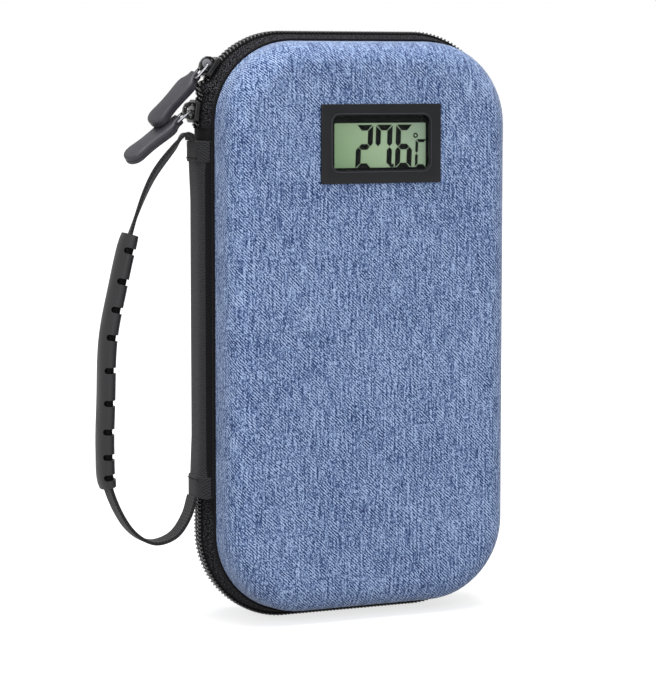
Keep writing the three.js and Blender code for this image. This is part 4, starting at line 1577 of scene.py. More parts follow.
@dataclass
class SliderAndTab:
    """Slider with its wire bail and rubber tab, modelled at angle zero round the corner.

    On the bench X points away from the corner's centre, and the bail and the tab lie along X.
    """

    which: Which
    slider_angle: float
    pull_angle: float
    tab_play: float
    floor: float = 34.05 * MM
    plate: float = 1.2 * MM
    half_width: float = 3.9 * MM
    half_length: float = 4.2 * MM
    plate_corner: float = 1.7 * MM
    plate_edge: float = 0.4 * MM
    flange: float = 0.8 * MM
    flange_floor: float = 33 * MM
    flange_share: float = 0.8
    flange_edge: float = 0.2 * MM
    overlap: float = 0.2 * MM
    post_half_width: float = 0.4 * MM
    post_half_length: float = 1.4 * MM
    under_top: float = 31.1 * MM
    under_plate: float = 0.9 * MM
    under_share: float = 0.9
    under_edge: float = 0.3 * MM
    bridge_gap: float = 2 * MM
    bridge_thickness: float = 1.2 * MM
    bridge_half_width: float = 1.1 * MM
    bridge_half_length: float = 3.2 * MM
    bridge_edge: float = 0.22 * MM
    disc_radius: float = 1.75 * MM
    disc_height: float = 0.62
    disc_stand: float = 0.35 * MM
    disc_edge: float = 0.25 * MM
    wire: float = 0.55 * MM
    bail_half: float = 2.9 * MM
    bail_length: float = 7 * MM
    bail_corner: float = 1.2 * MM
    tab_start: float = 4.8 * MM
    tab_length: float = 25.2 * MM
    tab_width: float = 8.5 * MM
    tab_neck: float = 1.9 * MM
    tab_body: float = 2.6 * MM
    tab_thickness: float = 3.7 * MM
    tab_edge: float = 0.95 * MM
    tab_twist: float = 17
    groove: float = 0.3 * MM
    groove_lip: float = 0.08 * MM
    groove_depth: float = 0.22 * MM

    @property
    def top(self) -> float:
        """Distance of the plate's top from the corner's centre."""
        return self.floor + self.plate

    @property
    def crown(self) -> float:
        """Distance of the bridge's inside from the corner's centre."""
        return self.top + self.bridge_gap

    def slider_place(self) -> Matrix:
        """Matrix of the slider."""
        return Matrix.Translation((0, ZIP_Y, 0)) @ OUTLINE.station(self.slider_angle)

    def pull_place(self) -> Matrix:
        """Matrix of the bail and the tab, which hang from the middle of the bridge's gap."""
        turn = Matrix.Rotation(-math.radians(self.pull_angle - self.slider_angle), 4, "Y")
        return self.slider_place() @ Matrix.Translation((self.top + self.bridge_gap / 2, 0, 0)) @ turn

    def build_body(self) -> None:
        """Model the slider's plates, flanges, post and bridge."""
        name, long, wide = self.which.value, self.half_length, self.half_width
        body = Workpiece.block(f"{name}_slider_body", (self.floor, -wide, -long), (self.top, wide, long))
        body.round_edges(self.plate_corner, 5, along(Axis.X))
        body.round_edges(
            self.plate_edge, 3, lambda place, line: place.x > self.top - TINY and abs(line.x) < SQUARE
        )
        parts = []
        reach, high = long * self.flange_share, self.floor + CLEARANCE
        for sign in (-1, 1):
            near, far = sorted((sign * (wide - self.flange), sign * wide))
            flange = Workpiece.block("flange", (self.flange_floor, near, -reach), (high, far, reach))
            flange.round_edges(self.flange_edge, 2, anywhere)
            parts.append(flange)
        narrow, reach = wide - self.flange, long * self.under_share
        low = (self.under_top - self.under_plate, -wide + self.flange, -reach)
        under = Workpiece.block("under", low, (self.under_top, narrow, reach))
        under.round_edges(self.under_edge, 2, anywhere)
        across_y, along_z = self.post_half_width, self.post_half_length
        low = (self.under_top - self.overlap, -across_y, -along_z)
        post = Workpiece.block("post", low, (self.floor + self.overlap, across_y, along_z))
        body.join(*parts, under, post, self.model_bridge()).move(self.slider_place())
        body.dress(SLIDER_METAL, f"slider_{name}", [f"zip_slider_{name}"])
        if self.which is Which.UPPER:
            self.build_disc()

    def build_disc(self) -> None:
        """Model the pale grey disc that closes the bridge's side; its grey is a painted reflection of the
        slider's shiny plate.
        """
        middle = self.top + self.bridge_gap * self.disc_height
        near, far = -self.bridge_half_width - self.disc_stand, -self.bridge_half_width + self.overlap
        disc = Workpiece.rod("upper_slider_reflection_disc", (middle, near, 0), (middle, far, 0), self.disc_radius, 24)
        disc.round_edges(self.disc_edge, 3, lambda place, line: place.y < near + TINY)
        disc.move(self.slider_place())
        disc.dress(DISC_PAINTED_REFLECTION, "slider_upper")

    def model_bridge(self) -> Workpiece:
        """Model the arched bridge over the bail's axis.

        Returns:
            The bridge on the bench.
        """
        wide, reach = self.bridge_half_width, self.bridge_half_length
        thick, crown = self.bridge_thickness, self.crown
        foot = self.top - 0.1 * MM
        outer = [
            (foot, reach), (crown - 0.6 * MM, reach * 0.98), (crown + thick * 0.55, reach * 0.72),
            (crown + thick, reach * 0.25),
        ]
        inner = [
            (crown + 0.05 * MM, reach * 0.18), (crown - 0.1 * MM, reach * 0.5),
            (crown - 0.7 * MM, reach * 0.66), (foot, reach * 0.68),
        ]
        half = Workpiece.section("bridge", [(x, -wide, z) for x, z in outer[::-1] + inner])
        half.pull(0, 2 * wide, 0)
        bridge = half.copy_to([UPRIGHT, Matrix.Scale(-1, 4, (0, 0, 1))])
        low = (crown + 0.03 * MM, -wide, -reach * 0.27)
        bridge.join(Workpiece.block("middle", low, (crown + thick, wide, reach * 0.27)))
        bridge.round_edges(
            self.bridge_edge, 2, lambda place, line: abs(abs(place.y) - wide) < TINY and abs(line.y) < SQUARE
        )
        return bridge

    def build_bail(self) -> None:
        """Bend the wire bail: a rounded link round the bridge and through the tab."""
        wide, long, corner = self.bail_half, self.bail_length, self.bail_corner
        ring = [(long / 2, -wide + out, rise) for out, rise in oval(0, 0, self.wire, self.wire, 10)]
        wire = Workpiece.section(f"{self.which.value}_wire_bail", ring)
        straight, width = long / 2 - corner, 2 * (wide - corner)
        steps = [
            ((straight, 0, 0), (long - corner, -wide + corner, 0)),
            ((0, width, 0), (long - corner, wide - corner, 0)),
            ((-(long - 2 * corner), 0, 0), (corner, wide - corner, 0)),
            ((0, -width, 0), (corner, -wide + corner, 0)),
        ]
        with wire.editing():
            pick_all()
            for move, centre in steps:
                extrude(*move)
                bpy.ops.mesh.spin(steps=5, angle=-math.pi / 2, center=centre, axis=(0, 0, 1))
            extrude(straight, 0, 0)
        wire.close(MERGE).move(self.pull_place())
        wire.dress(WIRE_METAL, f"pull_{self.which.value}", [f"zip_bail_{self.which.value}"])

    def tab_outline(self) -> list[Pair]:
        """Corners of the tab's waisted outline with round ends.

        Returns:
            The corners in order.
        """
        half, start = self.tab_width / 2, self.tab_start
        end, body = start + self.tab_length, start + self.tab_body
        upper = [
            (start, self.tab_neck * 0.9), (body - 0.6 * MM, self.tab_neck * 1.05),
            (body + 0.5 * MM, half * 0.62), (body + 1.7 * MM, half * 0.86),
            (body + 3.4 * MM, half * 0.97), (body + 6 * MM, half * 0.95),
            (body + 9.5 * MM, half * 0.88), (body + 13 * MM, half * 0.87),
            (body + 16 * MM, half * 0.94), (body + 18 * MM, half),
        ]
        turns = [math.pi / 2 * step / 7 for step in range(1, 7)]
        upper += [(end - half + half * math.sin(a), half * math.cos(a)) for a in turns]
        return upper + [(end, 0.0)] + [(x, -y) for x, y in reversed(upper)]

    def build_tab(self) -> None:
        """Model the rubber tab with rounded edges and a parting groove round its side."""
        name, half, groove = self.which.value, self.tab_thickness / 2, self.groove
        tab = Workpiece.section(f"{name}_rubber_tab", [(x, y, -half) for x, y in self.tab_outline()])
        with tab.editing():
            pick_all()
            bpy.ops.mesh.edge_face_add()
            for rise in (half - groove, 2 * groove, half - groove):
                extrude(0, 0, rise)
            pick_all()
            bpy.ops.mesh.normals_make_consistent(inside=False)
            tab.pick(Pick.FACE, lambda place, normal: abs(place.z) < groove / 2 and abs(normal.z) < 0.5)
            bpy.ops.mesh.inset(thickness=self.groove_lip, depth=-self.groove_depth)
        tab.round_edges(self.tab_edge, 4, lambda place, line: abs(abs(place.z) - half) < TINY)
        twist = Matrix.Rotation(-math.radians(self.tab_twist), 4, "X")
        tab.move(self.pull_place() @ Matrix.Translation((0, self.tab_play, 0)) @ twist)
        tab.dress(PULL_RUBBER, f"pull_{name}", [f"zip_pull_{name}"])

    def build(self) -> None:
        """Build and dress slider, bail and tab."""
        self.build_body()
        self.build_bail()
        self.build_tab()


@dataclass
class HingePanel:
    """Cloth panel down the left side with its lining, hems, bindings, gussets and stitches."""

    top: float = 68.1 * MM
    bottom: float = -60.7 * MM
    foot_x: float = -57.1 * MM
    middle_y: float = ZIP_Y - 0.5 * MM
    half_width: float = 8.2 * MM
    bulge: float = 3.6 * MM
    thickness: float = 1.5 * MM
    lining_thickness: float = 0.7 * MM
    hem_height: float = 7.5 * MM
    hem_thickness: float = 0.9 * MM
    hem_outset: float = 1.3 * MM
    hem_edge: float = 0.35 * MM
    hem_edge_from: float = 60 * MM
    hem_drop: float = 0.6 * MM
    edge_outset: float = 0.35 * MM
    binding_outset: float = 0.3 * MM
    binding_thickness: float = 0.28 * MM
    gusset_outset: float = 0.1 * MM
    gusset_thickness: float = 0.5 * MM
    gusset_bulge: float = 0.5 * MM
    gusset_lap: float = 3 * MM
    gusset_rise: float = 4.8 * MM
    gusset_drop: float = 5 * MM
    cloth_thickness: float = 0.3 * MM
    cloth_slope: float = 0.12 * MM
    cloth_drop: float = 0.3 * MM
    cloth_excess: float = 4.2 * MM
    flare: float = 0.9 * MM
    flare_length: float = 22 * MM
    stitch_half: float = 0.75 * MM
    stitch_radius: float = 0.2 * MM
    stitch_edge: float = 0.12 * MM
    stitch_pitch: float = 2.1 * MM
    stitch_inset: float = 1.3 * MM
    stitch_sink: float = 0.02 * MM
    steps: int = 14
    rises: int = 12

    def spread(self, point: Vector) -> Vector:
        """Swell the panel a little towards its two hems.

        Args:
            point: A point of the straight panel.

        Returns:
            The point on the flared panel.
        """
        near = min(self.top - point.z, point.z - self.bottom)
        share = 1 - share_of(near / self.flare_length)
        width = abs(point.y - self.middle_y) / self.half_width
        swell = self.flare * share**2 * (3 - 2 * share) * (1 - min(1.0, width) ** 6)
        return Vector((point.x - swell, point.y, point.z))

    def strip(
        self, name: str, outset: float, thickness: float, span: Pair, ends: Pair, bulge: float | None = None
    ) -> Workpiece:
        """Model a curved strip of the panel.

        Args:
            name: The piece's name.
            outset: How far its outer face stands out from the panel's.
            thickness: Its thickness.
            span: Its two edges as shares of the half width, from the lid's side to the base's.
            ends: Its lower and its upper end.
            bulge: How far its middle stands out from its edges, the panel's if left out.

        Returns:
            The strip.
        """
        bulge = self.bulge if bulge is None else bulge
        low, high = ends
        outer, inner = [], []
        for step in range(self.steps + 1):
            share = span[0] + (span[1] - span[0]) * step / self.steps
            rise = outset * (1 - share**6) + min(outset, self.edge_outset) * share**6
            x = self.foot_x - rise - bulge * (1 - share**4)
            y = self.middle_y + share * self.half_width
            outer.append((x, y, low))
            inner.append((x + thickness, y, low))
        piece = Workpiece.section(name, outer + inner[::-1])
        piece.pull(0, 0, (high - low) / self.rises, steps=self.rises)
        piece.lay_map(side_map)
        return piece

    def build(self) -> None:
        """Build and dress all the pieces of the panel."""
        top, bottom = self.top, self.bottom
        panel = self.strip("hinge_cloth_panel", 0, self.thickness, (-1, 1), (bottom, top))
        panel.shape(self.spread)
        panel.dress(BLACK_CLOTH, "spine", ["spine_panel"])
        inside = (bottom + CLEARANCE, top - CLEARANCE)
        sizes = (self.binding_outset, self.binding_thickness)
        # Thin near-black strips along the panel's edges next to the shells: partly binding, partly painted
        # shade of the groove there.
        for name, span in (("lid", (-0.99, -0.84)), ("base", (0.84, 0.99))):
            self.strip(f"hinge_edge_binding_{name}", *sizes, span, inside).dress(PIPING_WITH_PAINTED_SHADE, "spine")
        depth = -(self.thickness + CLEARANCE)
        lining = self.strip("hinge_knit_lining", depth, self.lining_thickness, (-0.7, 0.7), (bottom, top))
        lining.dress(LINING, "spine", ["spine_lining"])
        for name, ends in (
            ("upper", (top - self.gusset_lap, top + self.gusset_rise)),
            ("lower", (bottom - self.gusset_drop, bottom + self.gusset_lap)),
        ):
            sizes = (self.gusset_outset, self.gusset_thickness, (-0.97, 0.97), ends, self.gusset_bulge)
            self.strip(f"hinge_gusset_{name}", *sizes).dress(PIPING_WITH_PAINTED_SHADE, "spine")
        self.build_hinge_cloth("base", 1)
        self.build_hinge_cloth("lid", -1)
        for name, ends in (
            ("upper", (top - self.hem_height, top)),
            ("lower", (bottom - self.hem_drop, bottom + self.hem_height)),
        ):
            hem = self.strip(f"hinge_hem_{name}", self.hem_outset, self.hem_thickness, (-0.97, 0.97), ends)
            hem.round_edges(
                self.hem_edge,
                2,
                lambda place, line: abs(line.z) < SQUARE and abs(place.x) > self.hem_edge_from,
            )
            hem.lay_map(side_map)
            hem.dress(BLACK_CLOTH, "spine", [f"spine_hem_{name}"])
        self.build_stitches()

    def build_hinge_cloth(self, half: str, side: int) -> None:
        """Join the panel to one half with a strip of cloth that curves round the hinge.

        Args:
            half: The half's body.
            side: 1 for the base and -1 for the lid.
        """
        path = [
            (-53.6 * MM, 8.3 * MM), (-54.6 * MM, 8.3 * MM), (-55.4 * MM, 8.15 * MM),
            (-56.1 * MM, 7.75 * MM), (-56.7 * MM, 7.2 * MM), (-57.1 * MM, 6.6 * MM),
        ]
        back = [(x + self.cloth_slope, rise - self.cloth_thickness) for x, rise in reversed(path)]
        low = self.bottom - self.cloth_drop
        corners = [(x, self.middle_y + side * rise, low) for x, rise in path + back]
        strip = Workpiece.section(f"hinge_cloth_{half}", corners)
        strip.pull(0, 0, self.top - self.bottom + self.cloth_excess)
        strip.lay_map(lambda point: (point.y - point.x, point.z))
        strip.dress(PIPING_WITH_PAINTED_SHADE, None)
        if half == "base":
            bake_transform(strip.thing)
        else:
            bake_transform(strip.thing)

    def build_stitches(self) -> None:
        """Sew a row of stitches across each hem."""
        half = self.stitch_half
        stitch = Workpiece.rod("hinge_stitches", (0, -half, 0), (0, half, 0), self.stitch_radius, 6)
        stitch.round_edges(self.stitch_edge, 2, across(Axis.Y))
        height, inset = self.hem_height, self.stitch_inset
        places = []
        for z in (self.top - height + inset, self.bottom + height - inset):
            for y in [step * self.stitch_pitch for step in range(-2, 3)]:
                x = self.foot_x - self.hem_outset - self.bulge * (1 - (y / self.half_width) ** 4)
                places.append(Matrix.Translation((x + self.stitch_sink, self.middle_y + y, z)))
        stitch.copy_to(places)
        stitch.lay_map(side_map)
        stitch.dress(PIPING_WITH_PAINTED_SHADE, "spine")


@dataclass
class CarryingHandle:
    """Webbing strap through a notched rubber grip, along one curve.

    The curve's points are shares of its reach outwards and of its height.
    """

    root_x: float = -61.75 * MM
    reach: float = 33.65 * MM
    high: float = 68.4 * MM
    low: float = -61.0 * MM
    least_gap: float = 1e-4
    curve_step: float = 1e-3
    strap_width: float = 8 * MM
    strap_thickness: float = 1.25 * MM
    strap_edge: float = 0.55
    strap_stations: int = 150
    strap_gap: float = 0.001
    map_steps: int = 300
    twist: float = -30
    twist_start: float = 0.08
    twist_end: float = 0.42
    bend_start: float = 1.2 * MM
    upper_bend_end: float = 9 * MM
    lower_bend_end: float = 12 * MM
    grip_width: float = 11 * MM
    grip_thickness: float = 6.2 * MM
    grip_sides: int = 24
    grip_steps: int = 44
    grip_swell: tuple[float, ...] = (0.88, 0.97, 1.0)
    grip_margin: float = 5.2 * MM
    grip_first: int = 5
    grip_last: int = 10
    hollow_share: float = 0.78
    hollow_inset: float = 0.04
    hollow_steps: int = 40
    notch_count: int = 9
    notch_height: float = 2.2 * MM
    notch_depth: float = 0.3 * MM
    notch_lap: float = 1.4 * MM
    notch_roundness: float = 0.98
    shares: tuple[Pair, ...] = (
        (0, 1), (0.0104, 1.0124), (0.0669, 1.0155), (0.1679, 0.9861), (0.4413, 0.8972),
        (0.6969, 0.7411), (0.8484, 0.5896), (0.9554, 0.4521), (0.9851, 0.2859), (1, 0.1461),
        (0.9703, 0.0425), (0.7236, -0.0835), (0.471, -0.1236), (0.2273, -0.1082), (0.0728, -0.0572),
        (0, 0),
    )

    def route(self) -> list[Vector]:
        """Points that the strap's middle passes through.

        Returns:
            The points from the upper sewn end to the lower one.
        """
        return [
            Vector((self.root_x - out * self.reach, ZIP_Y, self.low + height * (self.high - self.low)))
            for out, height in self.shares
        ]

    def point(self, share: float) -> Vector:
        """Point on the smooth curve through the route.

        Args:
            share: The place between the route's ends, 0 to 1, even in the route's points.

        Returns:
            The point.
        """
        route = self.route()
        last = len(route) - 1
        spot = share_of(share) * last
        index = min(int(spot), last - 1)
        weight = spot - index
        b, c = route[index], route[index + 1]
        a = route[index - 1] if index > 0 else 2 * b - c
        d = route[index + 2] if index + 2 <= last else 2 * c - b
        gaps = [max(math.sqrt((q - p).length), self.least_gap) for p, q in ((a, b), (b, c), (c, d))]
        first = (b - a) / gaps[0] - (c - a) / (gaps[0] + gaps[1]) + (c - b) / gaps[1]
        second = (c - b) / gaps[1] - (d - b) / (gaps[1] + gaps[2]) + (d - c) / gaps[2]
        first *= gaps[1]
        second *= gaps[1]
        square = (-3 * b + 3 * c - 2 * first - second) * weight**2
        return b + first * weight + square + (2 * b - 2 * c + first + second) * weight**3

    def station(self, share: float, twist: float = 0, thick: float = 1, wide: float = 1) -> Matrix:
        """Matrix of a section on the curve: X towards the case, Y across and Z back along it.

        Args:
            share: The place along the curve.
            twist: The turn about the curve in radians.
            thick: The scale across the thickness.
            wide: The scale across the width.

        Returns:
            The matrix.
        """
        ahead, behind = self.point(share + self.curve_step), self.point(share - self.curve_step)
        line, side = (ahead - behind).normalized(), Vector((0, 1, 0))
        turn = Matrix((line.cross(side).normalized(), side, -line)).transposed().to_4x4()
        scale = Matrix.Diagonal((thick, wide, 1, 1))
        return Matrix.Translation(self.point(share)) @ turn @ Matrix.Rotation(twist, 4, "Z") @ scale

    def build_strap(
        self, name: str, start: float, end: float, replaces: Sequence[str]
    ) -> None:
        """Build one half of the strap, from its sewn end into the grip.

        Args:
            name: The piece's name.
            start: Its first place along the curve.
            end: Its last place.
            replaces: The CAD nodes that it stands for.
        """
        thick, wide = self.strap_thickness / 2, self.strap_width / 2
        edge = thick * self.strap_edge
        side = [(-thick, -wide + edge), (-edge, -wide), (edge, -wide), (thick, -wide + edge)]
        corners = side + [(x, -y) for x, y in reversed(side)]
        strap = Workpiece.section(name, [(x, y, 0) for x, y in corners])
        count = round(abs(end - start) * self.strap_stations)
        stations = []
        for step in range(count + 1):
            share = start + (end - start) * step / count
            way = (share - self.twist_start) / (self.twist_end - self.twist_start)
            turn = math.radians(self.twist) * math.sin(math.pi * share_of(way)) ** 2
            stations.append(self.station(share, turn))
        strap.loft(stations)
        curve = [self.point(i / self.map_steps) for i in range(self.map_steps + 1)]
        runs = [0.0]
        for a, b in zip(curve, curve[1:]):
            runs.append(runs[-1] + (b - a).length)

        def place(point: Vector) -> Pair:
            """Place of a point on the webbing: length along it, and depth."""
            gaps = [(spot.x - point.x) ** 2 + (spot.z - point.z) ** 2 for spot in curve]
            return runs[gaps.index(min(gaps))], point.y

        strap.lay_map(place)
        strap.dress(WEBBING, None, replaces)
        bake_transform(strap.thing)

    def build_grip(self) -> None:
        """Build the oval rubber grip with rounded ends, its notches, and a near-black core inside that paints
        the shade in the notches.
        """
        last = len(self.shares) - 1
        start, end = self.grip_first / last, self.grip_last / last
        corners = oval(0, 0, self.grip_thickness / 2, self.grip_width / 2, self.grip_sides)
        grip = Workpiece.section("notched_rubber_grip", [(x, y, 0) for x, y in corners])
        stations = []
        count = self.grip_steps
        for step in range(count + 1):
            swell = self.grip_swell[min(step, count - step, len(self.grip_swell) - 1)]
            stations.append(self.station(start + (end - start) * step / count, 0, swell, 0.5 + 0.5 * swell))
        grip.loft(stations)
        margin = (end - start) * self.grip_margin / (self.point(start) - self.point(end)).length
        cutters = []
        for notch in range(self.notch_count):
            share = start + margin + notch / (self.notch_count - 1) * (end - start - 2 * margin)
            cutters.append(self.notch_cutter().move(self.station(share)))
        grip.carve(cutters[0].join(*cutters[1:]))
        grip.dress(GRIP_RUBBER, "handle", ["handle_grip"], 40)
        share, count = self.hollow_share, self.hollow_steps
        core = Workpiece.section("grip_shade_core", [(x * share, y * share, 0) for x, y in corners])
        inset = self.hollow_inset * (end - start)
        places = [start + inset + (end - start - 2 * inset) * i / count for i in range(count + 1)]
        core.loft([self.station(place) for place in places])
        core.dress(GRIP_SHADE_CORE, "handle")

    def notch_cutter(self) -> Workpiece:
        """Model the cutter of one notch: a slot with round ends that runs round the inner half.

        Returns:
            The cutter in a station's frame.
        """
        tall, reach = self.notch_height / 2, self.grip_width
        low, high = (-self.notch_depth, -reach, -tall), (reach, self.notch_lap, tall)
        front, back = (Workpiece.block("notch", low, high) for _ in range(2))
        for half in (front, back):
            half.round_edges(
                tall * self.notch_roundness, 5, lambda place, line: abs(line.y) > ALIGNED and place.x < 0
            )
            half.move(Matrix.Rotation(-math.radians(VIEW_AZIMUTH), 4, "Z"))
        front.carve(back.move(Matrix.Scale(-1, 4, (0, 1, 0))), "UNION")
        return front

    def build(self) -> None:
        """Build and dress the strap's two halves and the grip."""
        middle = (self.grip_first + self.grip_last) / 2 / (len(self.shares) - 1)
        gap = self.strap_gap
        self.build_strap("webbing_upper", 0.0, middle - gap, ["strap_end_upper", "handle_strap"])
        self.build_strap("webbing_lower", middle + gap, 1.0, ["strap_end_lower"])
        self.build_grip()


@dataclass
class Thermometer:
    """Panel thermometer in the lid: bezel, window, mask, display and figures.

    Depths run from the bezel's front. Figures are placed from the lower left of what is seen.
    """

    x: float = 2.2 * MM
    z: float = 67 * MM
    width: float = 48 * MM
    height: float = 28.6 * MM
    corner: float = 0.6 * MM
    edge: float = 0.35 * MM
    front_y: float = -48 * MM
    flange: float = 0.7 * MM
    front: float = 1.4 * MM
    body_width: float = 44.9 * MM
    body_height: float = 25.4 * MM
    body_corner: float = 1.2 * MM
    body_lap: float = 0.1 * MM
    back_y: float = -41.4 * MM
    walls: float = 2.6 * MM
    back_wall: float = 2 * MM
    window_width: float = 38.6 * MM
    window_height: float = 19.7 * MM
    window_corner: float = 2.5 * MM
    window_lift: float = 0.35 * MM
    window_depth: float = 4 * MM
    clear_of_front: float = 2 * MM
    step_size: Pair = (1.1 * MM, 0.5 * MM)
    step_depth: float = 0.22 * MM
    rim_size: Pair = (1.5 * MM, 0.7 * MM)
    rim_line: float = 0.25 * MM
    rim_stand: float = 0.05 * MM
    rim_depth: float = 0.2 * MM
    lens_size: float = 1 * MM
    lens_edge: float = 0.15 * MM
    lens_front: float = -46.3 * MM
    lens_back: float = -45.5 * MM
    panel_front: float = -45.2 * MM
    mask_size: float = 2.8 * MM
    mask_corner: float = 1 * MM
    mask_gap: float = 0.09 * MM
    mask_thickness: float = 0.06 * MM
    seen_low: Pair = (-15.5 * MM, 58.3 * MM)
    seen_high: Pair = (21.2 * MM, 74.4 * MM)
    seen_corner: float = 0.4 * MM
    ink_gap: float = 0.02 * MM
    ink: float = 0.05 * MM
    figures: tuple[tuple[str, float], ...] = (("abged", 8.3 * MM), ("abcf", 16.1 * MM), ("afgedc", 24.2 * MM))
    figure_size: Point = (6.7 * MM, 15.9 * MM, 2.05 * MM)
    figure_drop: float = 0.45 * MM
    figure_gap: float = 0.16 * MM
    figure_lean: float = 2
    unit_place: Pair = (32.3 * MM, -0.1 * MM)
    unit_size: Point = (4.6 * MM, 10.2 * MM, 1.1 * MM)
    point_place: Pair = (22.6 * MM, 0.1 * MM)
    point_size: float = 1.2 * MM
    ring_place: Pair = (32.6 * MM, 11.5 * MM)
    ring_radii: Pair = (0.95 * MM, 0.45 * MM)

    def plate(self, name: str, size: Pair, corner: float, depth: Pair, lift: float = 0) -> Workpiece:
        """Model a rounded plate square to the lid.

        Args:
            name: The piece's name.
            size: Its width and its height.
            corner: Its corners' radius.
            depth: The depth of its front and of its back.
            lift: How far it lies above the thermometer's middle.

        Returns:
            The plate.
        """
        (width, height), (front, back), z = size, depth, self.z + lift
        low = (self.x - width / 2, front, z - height / 2)
        high = (self.x + width / 2, back, z + height / 2)
        plate = Workpiece.block(name, low, high)
        plate.round_edges(corner, 5, along(Axis.Y))
        return plate

    def window_plate(self, name: str, wider: float, rounder: float, depth: Pair) -> Workpiece:
        """Model a plate in the window's place, so much wider and with so much rounder corners."""
        size = (self.window_width + wider, self.window_height + wider)
        return self.plate(name, size, self.window_corner + rounder, depth, self.window_lift)

    def build_bezel(self) -> None:
        """Model the bezel: flange with rounded edges, body, stepped window and hollow."""
        front, body = self.front_y, (self.body_width, self.body_height)
        bezel = self.plate(
            "thermometer_frame", (self.width, self.height), self.corner, (front, front + self.flange)
        )
        bezel.round_edges(self.edge, 4, lambda place, line: place.y < front + TINY and abs(line.y) < SQUARE)
        depth = (front + self.flange - self.body_lap, self.back_y)
        bezel.carve(self.plate("body", body, self.body_corner, depth), "UNION")
        hollow = (self.body_width - self.walls, self.body_height - self.walls)
        depth = (front + self.front, self.back_y + self.back_wall)
        bezel.carve(self.plate("hollow", hollow, self.body_corner, depth))
        before = front - self.clear_of_front
        bezel.carve(self.window_plate("window", 0, 0, (before, front + self.window_depth)))
        bezel.carve(self.window_plate("step", *self.step_size, (before, front + self.step_depth)))
        bezel.dress(BEZEL, "lid", ["thermometer_bezel"])
        self.build_rim()

    def build_rim(self) -> None:
        """Model the thin raised line round the window, pale grey as a painted highlight on its edge."""
        wider, rounder = self.rim_size
        low, high = self.front_y - self.rim_stand, self.front_y + self.rim_depth
        rim = self.window_plate("window_rim_highlight", wider, rounder, (low, high))
        wider, rounder = wider - 2 * self.rim_line, rounder - self.rim_line
        rim.carve(self.window_plate("inner", wider, rounder, (low - MM, high + MM)))
        rim.dress(BEZEL_RIM_HIGHLIGHT, "lid")

    def build_mask(self) -> None:
        """Model the dark mask that frames the part of the display that is seen; its near-black is partly the
        display's border and partly painted shade under the window's edge.
        """
        y = self.panel_front - self.mask_gap
        size = (self.window_width + self.mask_size, self.window_height + self.mask_size)
        mask = self.plate("display_mask_with_shade", size, self.mask_corner, (y - self.mask_thickness, y))
        (low_x, low_z), (high_x, high_z) = self.seen_low, self.seen_high
        hole = Workpiece.block("hole", (low_x, y - MM, low_z), (high_x, y + MM, high_z))
        hole.round_edges(self.seen_corner, 4, along(Axis.Y))
        mask.carve(hole)
        mask.dress(MASK_WITH_PAINTED_SHADE, "lid")

    def bar(self, corners: Sequence[Pair]) -> Workpiece:
        """Model one thin bar of a figure from its corners in X and Z."""
        bar = Workpiece.section("bar", [(a, self.panel_front - self.ink_gap, b) for a, b in corners])
        return bar.pull(0, -self.ink, 0)

    def figure(self, bars: str, x: float, z: float, size: Point) -> Workpiece:
        """Model one figure from its bars, mitred where they meet.

        Args:
            bars: The letters of its bars, a to f clockwise from the top, g in the middle.
            x: Its left edge.
            z: Its lower edge.
            size: Its width, its height and the bars' thickness.

        Returns:
            The figure.
        """
        width, height, thick = size
        gap, half, middle = self.figure_gap, thick / 2, height / 2
        flat = [
            (2 * gap, height), (width - 2 * gap, height), (width - thick - gap, height - thick),
            (thick + gap, height - thick),
        ]
        upright = [
            (0.0, height - 2 * gap), (thick, height - thick - gap), (thick, middle + half + gap),
            (half, middle + gap), (0.0, middle + half + gap),
        ]
        centre = [
            (half + gap, middle), (thick + gap, middle + half), (width - thick - gap, middle + half),
            (width - half - gap, middle), (width - thick - gap, middle - half),
            (thick + gap, middle - half),
        ]
        shapes = {
            "a": flat,
            "b": [(width - a, b) for a, b in upright],
            "c": [(width - a, height - b) for a, b in upright],
            "d": [(a, height - b) for a, b in flat],
            "e": [(a, height - b) for a, b in upright],
            "f": upright,
            "g": centre,
        }
        lean = math.tan(math.radians(self.figure_lean))
        parts = [self.bar([(x + a + b * lean, z + b) for a, b in shapes[bar]]) for bar in bars]
        return parts[0].join(*parts[1:])

    def build_figures(self) -> None:
        """Set the display's figures: a temperature in degrees."""
        left, low = self.seen_low
        base = low - self.figure_drop
        parts = [self.figure(bars, left + place, base, self.figure_size) for bars, place in self.figures]
        unit_x, unit_z = self.unit_place
        parts.append(self.figure("afed", left + unit_x, low + unit_z, self.unit_size))
        y, size = self.panel_front - self.ink_gap, self.point_size
        point_x, point_z = left + self.point_place[0], low + self.point_place[1]
        corner = (point_x, y - self.ink, point_z)
        parts.append(Workpiece.block("point", corner, (point_x + size, y, point_z + size)))
        x, z = left + self.ring_place[0], low + self.ring_place[1]
        outer, inner = self.ring_radii
        ring = Workpiece.rod("ring", (x, y - self.ink, z), (x, y, z), outer, 20)
        ring.carve(Workpiece.rod("hole", (x, y - MM, z), (x, y + MM, z), inner, 20))
        parts[0].join(*parts[1:], ring).rename("display_figures").dress(INK, "lid")

    def build_lens(self) -> None:
        """Model the clear window with eased edges."""
        lens = self.window_plate("clear_window", self.lens_size, 0, (self.lens_front, self.lens_back))
        lens.round_edges(self.lens_edge, 2, across(Axis.Y))
        lens.dress(CLEAR, "lid", ["thermometer_lens"])

    def build(self) -> None:
        """Build and dress all pieces of the thermometer."""
        self.build_bezel()
        self.build_mask()
        self.build_figures()
        self.build_lens()
        for node, finish in (
            ("crystal_display", CRYSTAL),
            ("circuit_board", BOARD),
            ("thermometer_back", HOUSING),
            ("battery_cover", HOUSING),
            ("button_cell_left", STEEL),
            ("button_cell_right", STEEL),
            ("retaining_clip_left", HOUSING),
            ("retaining_clip_right", HOUSING),
        ):
            dress_node(node, finish)


